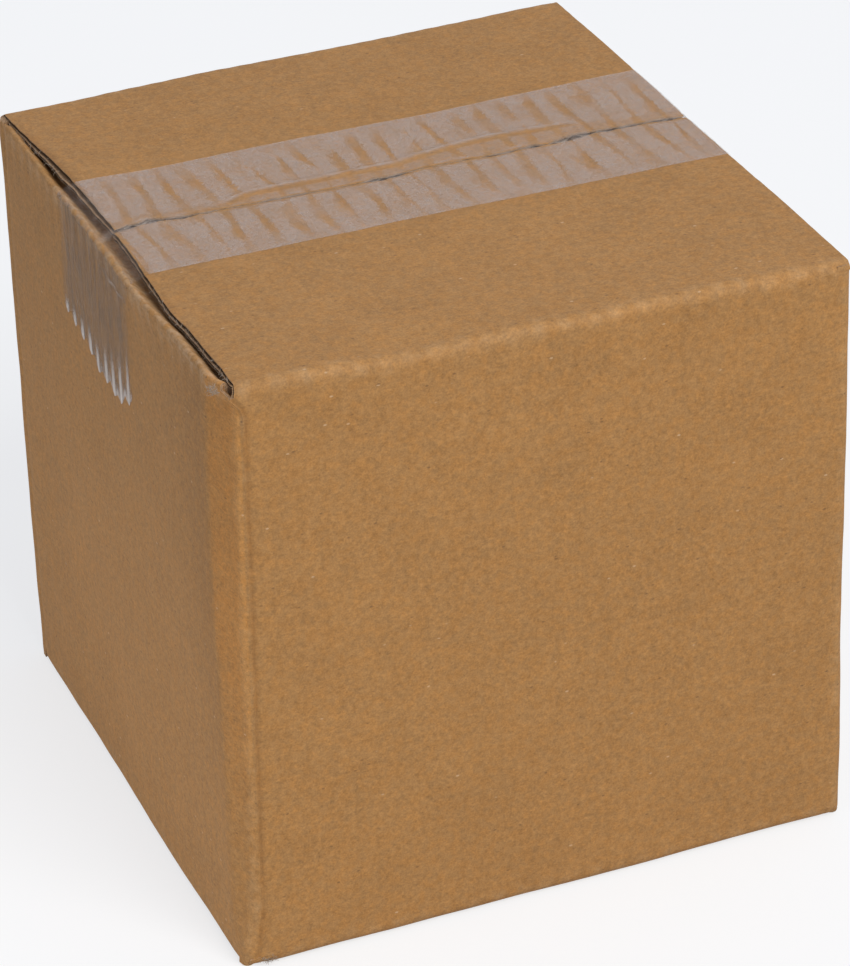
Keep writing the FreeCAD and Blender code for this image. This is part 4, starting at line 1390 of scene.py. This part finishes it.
class CARTON_OT_add_flutes(Operator):
    """Add the corrugated medium that shows in the raw ends along the seams."""

    bl_idname = "carton.add_flutes"
    bl_label = "Add fluting"

    REACH = 70.0   # fluting's end to the middle of the box
    STEP = 0.5     # spacing of the ribbon's points
    SUNK = 0.25    # fluting's edge inside the board's raw edge

    def execute(self, context):
        settings = context.scene.carton
        form = Form(settings)
        board, liner = form.size["board"], form.size["liner"]
        layer = (board - 3 * liner) / 2
        points, edges, inwards = [], [], []
        for end, face_z, away in (("top", form.top, -1), ("bottom", form.foot, 1)):
            for panel, sign in (("front", -1), ("back", 1)):
                for depth in (liner + layer / 2, 2 * liner + 1.5 * layer):
                    start = len(points)
                    for step in range(int(2 * self.REACH / self.STEP) + 1):
                        x = self.STEP * step - self.REACH
                        edge = Vector((x, form.seam_end(panel), face_z))
                        move = form.settle(panel, end, edge, Vector((0, 0, -away)))
                        place = edge + move + Vector((0, sign * self.SUNK, away * depth))
                        points.append(form.warp(place) * MM)
                        inwards.append((0.0, float(sign), 0.0))
                        if step:
                            edges.append((start + step - 1, start + step))
        mesh = bpy.data.meshes.new("flute_seed")
        mesh.from_pydata(points, edges, [])
        layer_data = mesh.attributes.new("inward", "FLOAT_VECTOR", "POINT").data
        layer_data.foreach_set("vector", [part for inward in inwards for part in inward])
        tree = growth_flutes(material("loose_fibre", settings))
        item = grow("carton_fluting", mesh, tree, {
            "Pitch": settings.board.flute_pitch, "Swing": (layer / 2 - 0.1) * MM, "Depth": 1.4 * MM,
            "Paper": 0.16 * MM})
        keep_piece(item, "box_blank")
        return {"FINISHED"}


class CARTON_OT_add_top_tape(Operator):
    """Add the packing film over the top seam."""

    bl_idname = "carton.add_top_tape"
    bl_label = "Add top tape"

    def execute(self, context):
        settings = context.scene.carton
        points, faces, floats, flats = TopFilm(Form(settings), settings).build()
        item = add_object("carton_top_tape", points, faces, None, [material("packing_film", settings)],
                          floats, flats, crease=60.0)
        keep_piece(item, "top_tape")
        return {"FINISHED"}


class CARTON_OT_add_bottom_tape(Operator):
    """Add the packing film under the bottom seam."""

    bl_idname = "carton.add_bottom_tape"
    bl_label = "Add bottom tape"

    BITE = 1.2     # depth of the torn end's teeth
    CLEAR = 0.02   # film to board

    def execute(self, context):
        settings = context.scene.carton
        form = Form(settings)
        low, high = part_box("bottom_tape")
        low, high = low / MM, high / MM
        across, length = 50, 96
        pitch, width = settings.tape.teeth / MM, settings.tape.width / MM
        points, flats, wets = [], [], []
        for height in (high.z - self.CLEAR, low.z):
            for row in range(length + 1):
                for column in range(across + 1):
                    x = low.x + (high.x - low.x) * row / length
                    y = low.y + (high.y - low.y) * column / across
                    if row in (0, length):
                        x -= math.copysign(self.BITE * abs(2 * ((y / pitch) % 1.0) - 1), x)
                    points.append(form.warp(Vector((x, y, height))))
                    points[-1].z = height
                    flats.append(Vector((x, y)) * MM)
                    wets.append(1.05 - 2 * abs(y - form.size["seam_offset"]) / width)
        faces = [tuple(reversed(face)) for face in closed_sheet(length, across)]
        floats = {"wet": wets, "hang": [0.0] * len(points), "air_and_highlight": [0.0] * len(points)}
        item = add_object("carton_bottom_tape", points, faces, None, [material("packing_film", settings)],
                          floats, flats, crease=60.0)
        keep_piece(item, "bottom_tape")
        return {"FINISHED"}


class CARTON_OT_add_stage(Operator):
    """Add the pale floor, the soft lights, the sky and the camera."""

    bl_idname = "carton.add_stage"
    bl_label = "Add stage"

    RIGHT = (0.9216049754, -0.3877681988, -0.0167359868)
    UP = (0.2066208619, 0.4536589788, 0.8668917754)
    BACK = (-0.3285606317, -0.8023897774, 0.4982153715)
    EYE = (-0.351943, -0.864309, 0.607323)
    PHOTO_HEIGHT = 966   # pixels
    SENSOR = 36.0        # millimetres
    REACH = 6.0          # floor's edge to the middle
    GREY = (0.50, 0.475, 0.425, 1)   # floor as it lights the carton
    PALE = (0.98, 0.98, 0.98, 1)     # floor as it is seen
    SKY = (0.90, 0.99, 1.19, 1)
    KEY = {"place": (0.33, -1.40, 1.43), "target": (0, 0, 0.07), "size": (1.1, 1.1),
           "colour": (1, 0.985, 0.95), "spread": 180.0}
    LOW = {"place": (-0.27, -0.06, 0.03), "target": (-0.076, -0.02, 0.02), "size": (0.3, 0.06),
           "colour": (1, 0.95, 0.86), "spread": 120.0}

    def add_light(self, name, power, place, target, size, colour, spread):
        data = bpy.data.lights.new(name, "AREA")
        data.shape = "RECTANGLE"
        data.size, data.size_y = size
        data.energy = power
        data.color = colour
        data.spread = math.radians(spread)
        light = bpy.data.objects.new(name, data)
        light.location = place
        light.rotation_euler = (Vector(target) - Vector(place)).to_track_quat("-Z", "Y").to_euler()
        bpy.context.scene.collection.objects.link(light)

    @staticmethod
    def seen_rays(tree):
        """1 for rays that show the stage: straight, mirrored and through the film."""
        path = tree.nodes.new("ShaderNodeLightPath")
        seen = maths(tree, "MAXIMUM", path.outputs["Is Camera Ray"], path.outputs["Is Glossy Ray"])
        return maths(tree, "MAXIMUM", seen, path.outputs["Is Transmission Ray"])

    def add_floor(self):
        made, tree, shader = new_material("stage_floor")
        seen = self.seen_rays(tree)
        tree.links.new(blend(tree, seen, self.GREY, self.PALE), shader.inputs["Base Color"])
        glow = add_node(tree, "ShaderNodeEmission", {"Color": (1, 1, 1, 1), "Strength": 1.0})
        mix = add_node(tree, "ShaderNodeMixShader", {0: maths(tree, "MULTIPLY", seen, 0.68)})
        tree.links.new(shader.outputs[0], mix.inputs[1])
        tree.links.new(glow.outputs[0], mix.inputs[2])
        tree.links.new(mix.outputs[0], tree.nodes["Material Output"].inputs["Surface"])
        shader.inputs["Roughness"].default_value = 0.9
        shader.inputs["Specular IOR Level"].default_value = 0.1
        mesh = bpy.data.meshes.new("stage_floor")
        corners = [(-1, -1), (1, -1), (1, 1), (-1, 1)]
        mesh.from_pydata([(x * self.REACH, y * self.REACH, 0) for x, y in corners], [], [(0, 1, 2, 3)])
        mesh.materials.append(made)
        floor = bpy.data.objects.new("stage_floor", mesh)
        bpy.context.scene.collection.objects.link(floor)

    def add_sky(self, strength):
        world = bpy.data.worlds.new("stage_sky")
        world.use_nodes = True
        tree = world.node_tree
        tree.nodes.clear()
        lit = add_node(tree, "ShaderNodeBackground", {"Color": self.SKY, "Strength": strength})
        seen = add_node(tree, "ShaderNodeBackground", {"Color": (1, 1, 1, 1), "Strength": 1.0})
        mix = tree.nodes.new("ShaderNodeMixShader")
        tree.links.new(self.seen_rays(tree), mix.inputs[0])
        tree.links.new(lit.outputs[0], mix.inputs[1])
        tree.links.new(seen.outputs[0], mix.inputs[2])
        end = tree.nodes.new("ShaderNodeOutputWorld")
        tree.links.new(mix.outputs[0], end.inputs["Surface"])
        bpy.context.scene.world = world

    def execute(self, context):
        stage = context.scene.carton.stage
        self.add_floor()
        self.add_sky(stage.sky)
        self.add_light("stage_key", stage.key_power, **self.KEY)
        self.add_light("stage_low", stage.low_power, **self.LOW)
        data = bpy.data.cameras.new("stage_camera")
        data.sensor_width = self.SENSOR
        data.lens = stage.focal_px * self.SENSOR / self.PHOTO_HEIGHT
        data.clip_start, data.clip_end = 0.01, 50.0
        camera = bpy.data.objects.new("stage_camera", data)
        columns = Matrix((self.RIGHT, self.UP, self.BACK)).transposed().to_4x4()
        camera.matrix_world = Matrix.Translation(self.EYE) @ columns
        context.scene.collection.objects.link(camera)
        context.scene.camera = camera
        context.scene.view_settings.view_transform = "Standard"
        return {"FINISHED"}


OPERATORS = (CARTON_OT_add_box, CARTON_OT_add_flutes, CARTON_OT_add_fibres, CARTON_OT_add_top_tape,
             CARTON_OT_add_bottom_tape, CARTON_OT_add_stage)


class CARTON_PT_panel(Panel):
    """Sidebar panel with a button for each piece."""

    bl_idname = "CARTON_PT_panel"
    bl_label = "Taped carton"
    bl_space_type = "VIEW_3D"
    bl_region_type = "UI"
    bl_category = "Carton"

    def draw(self, context):
        for operator in OPERATORS:
            self.layout.operator(operator.bl_idname)


CLASSES = (CartonBoard, CartonTape, CartonLook, CartonStage, CartonSettings, *OPERATORS, CARTON_PT_panel)


def register():
    for entry in CLASSES:
        bpy.utils.register_class(entry)
    bpy.types.Scene.carton = PointerProperty(type=CartonSettings)


def unregister():
    del bpy.types.Scene.carton
    for entry in reversed(CLASSES):
        bpy.utils.unregister_class(entry)


def main():
    register()
    bpy.ops.carton.add_box()
    bpy.ops.carton.add_flutes()
    bpy.ops.carton.add_fibres()
    bpy.ops.carton.add_top_tape()
    bpy.ops.carton.add_bottom_tape()
    bpy.ops.carton.add_stage()


if __name__ == "__main__":
    main()
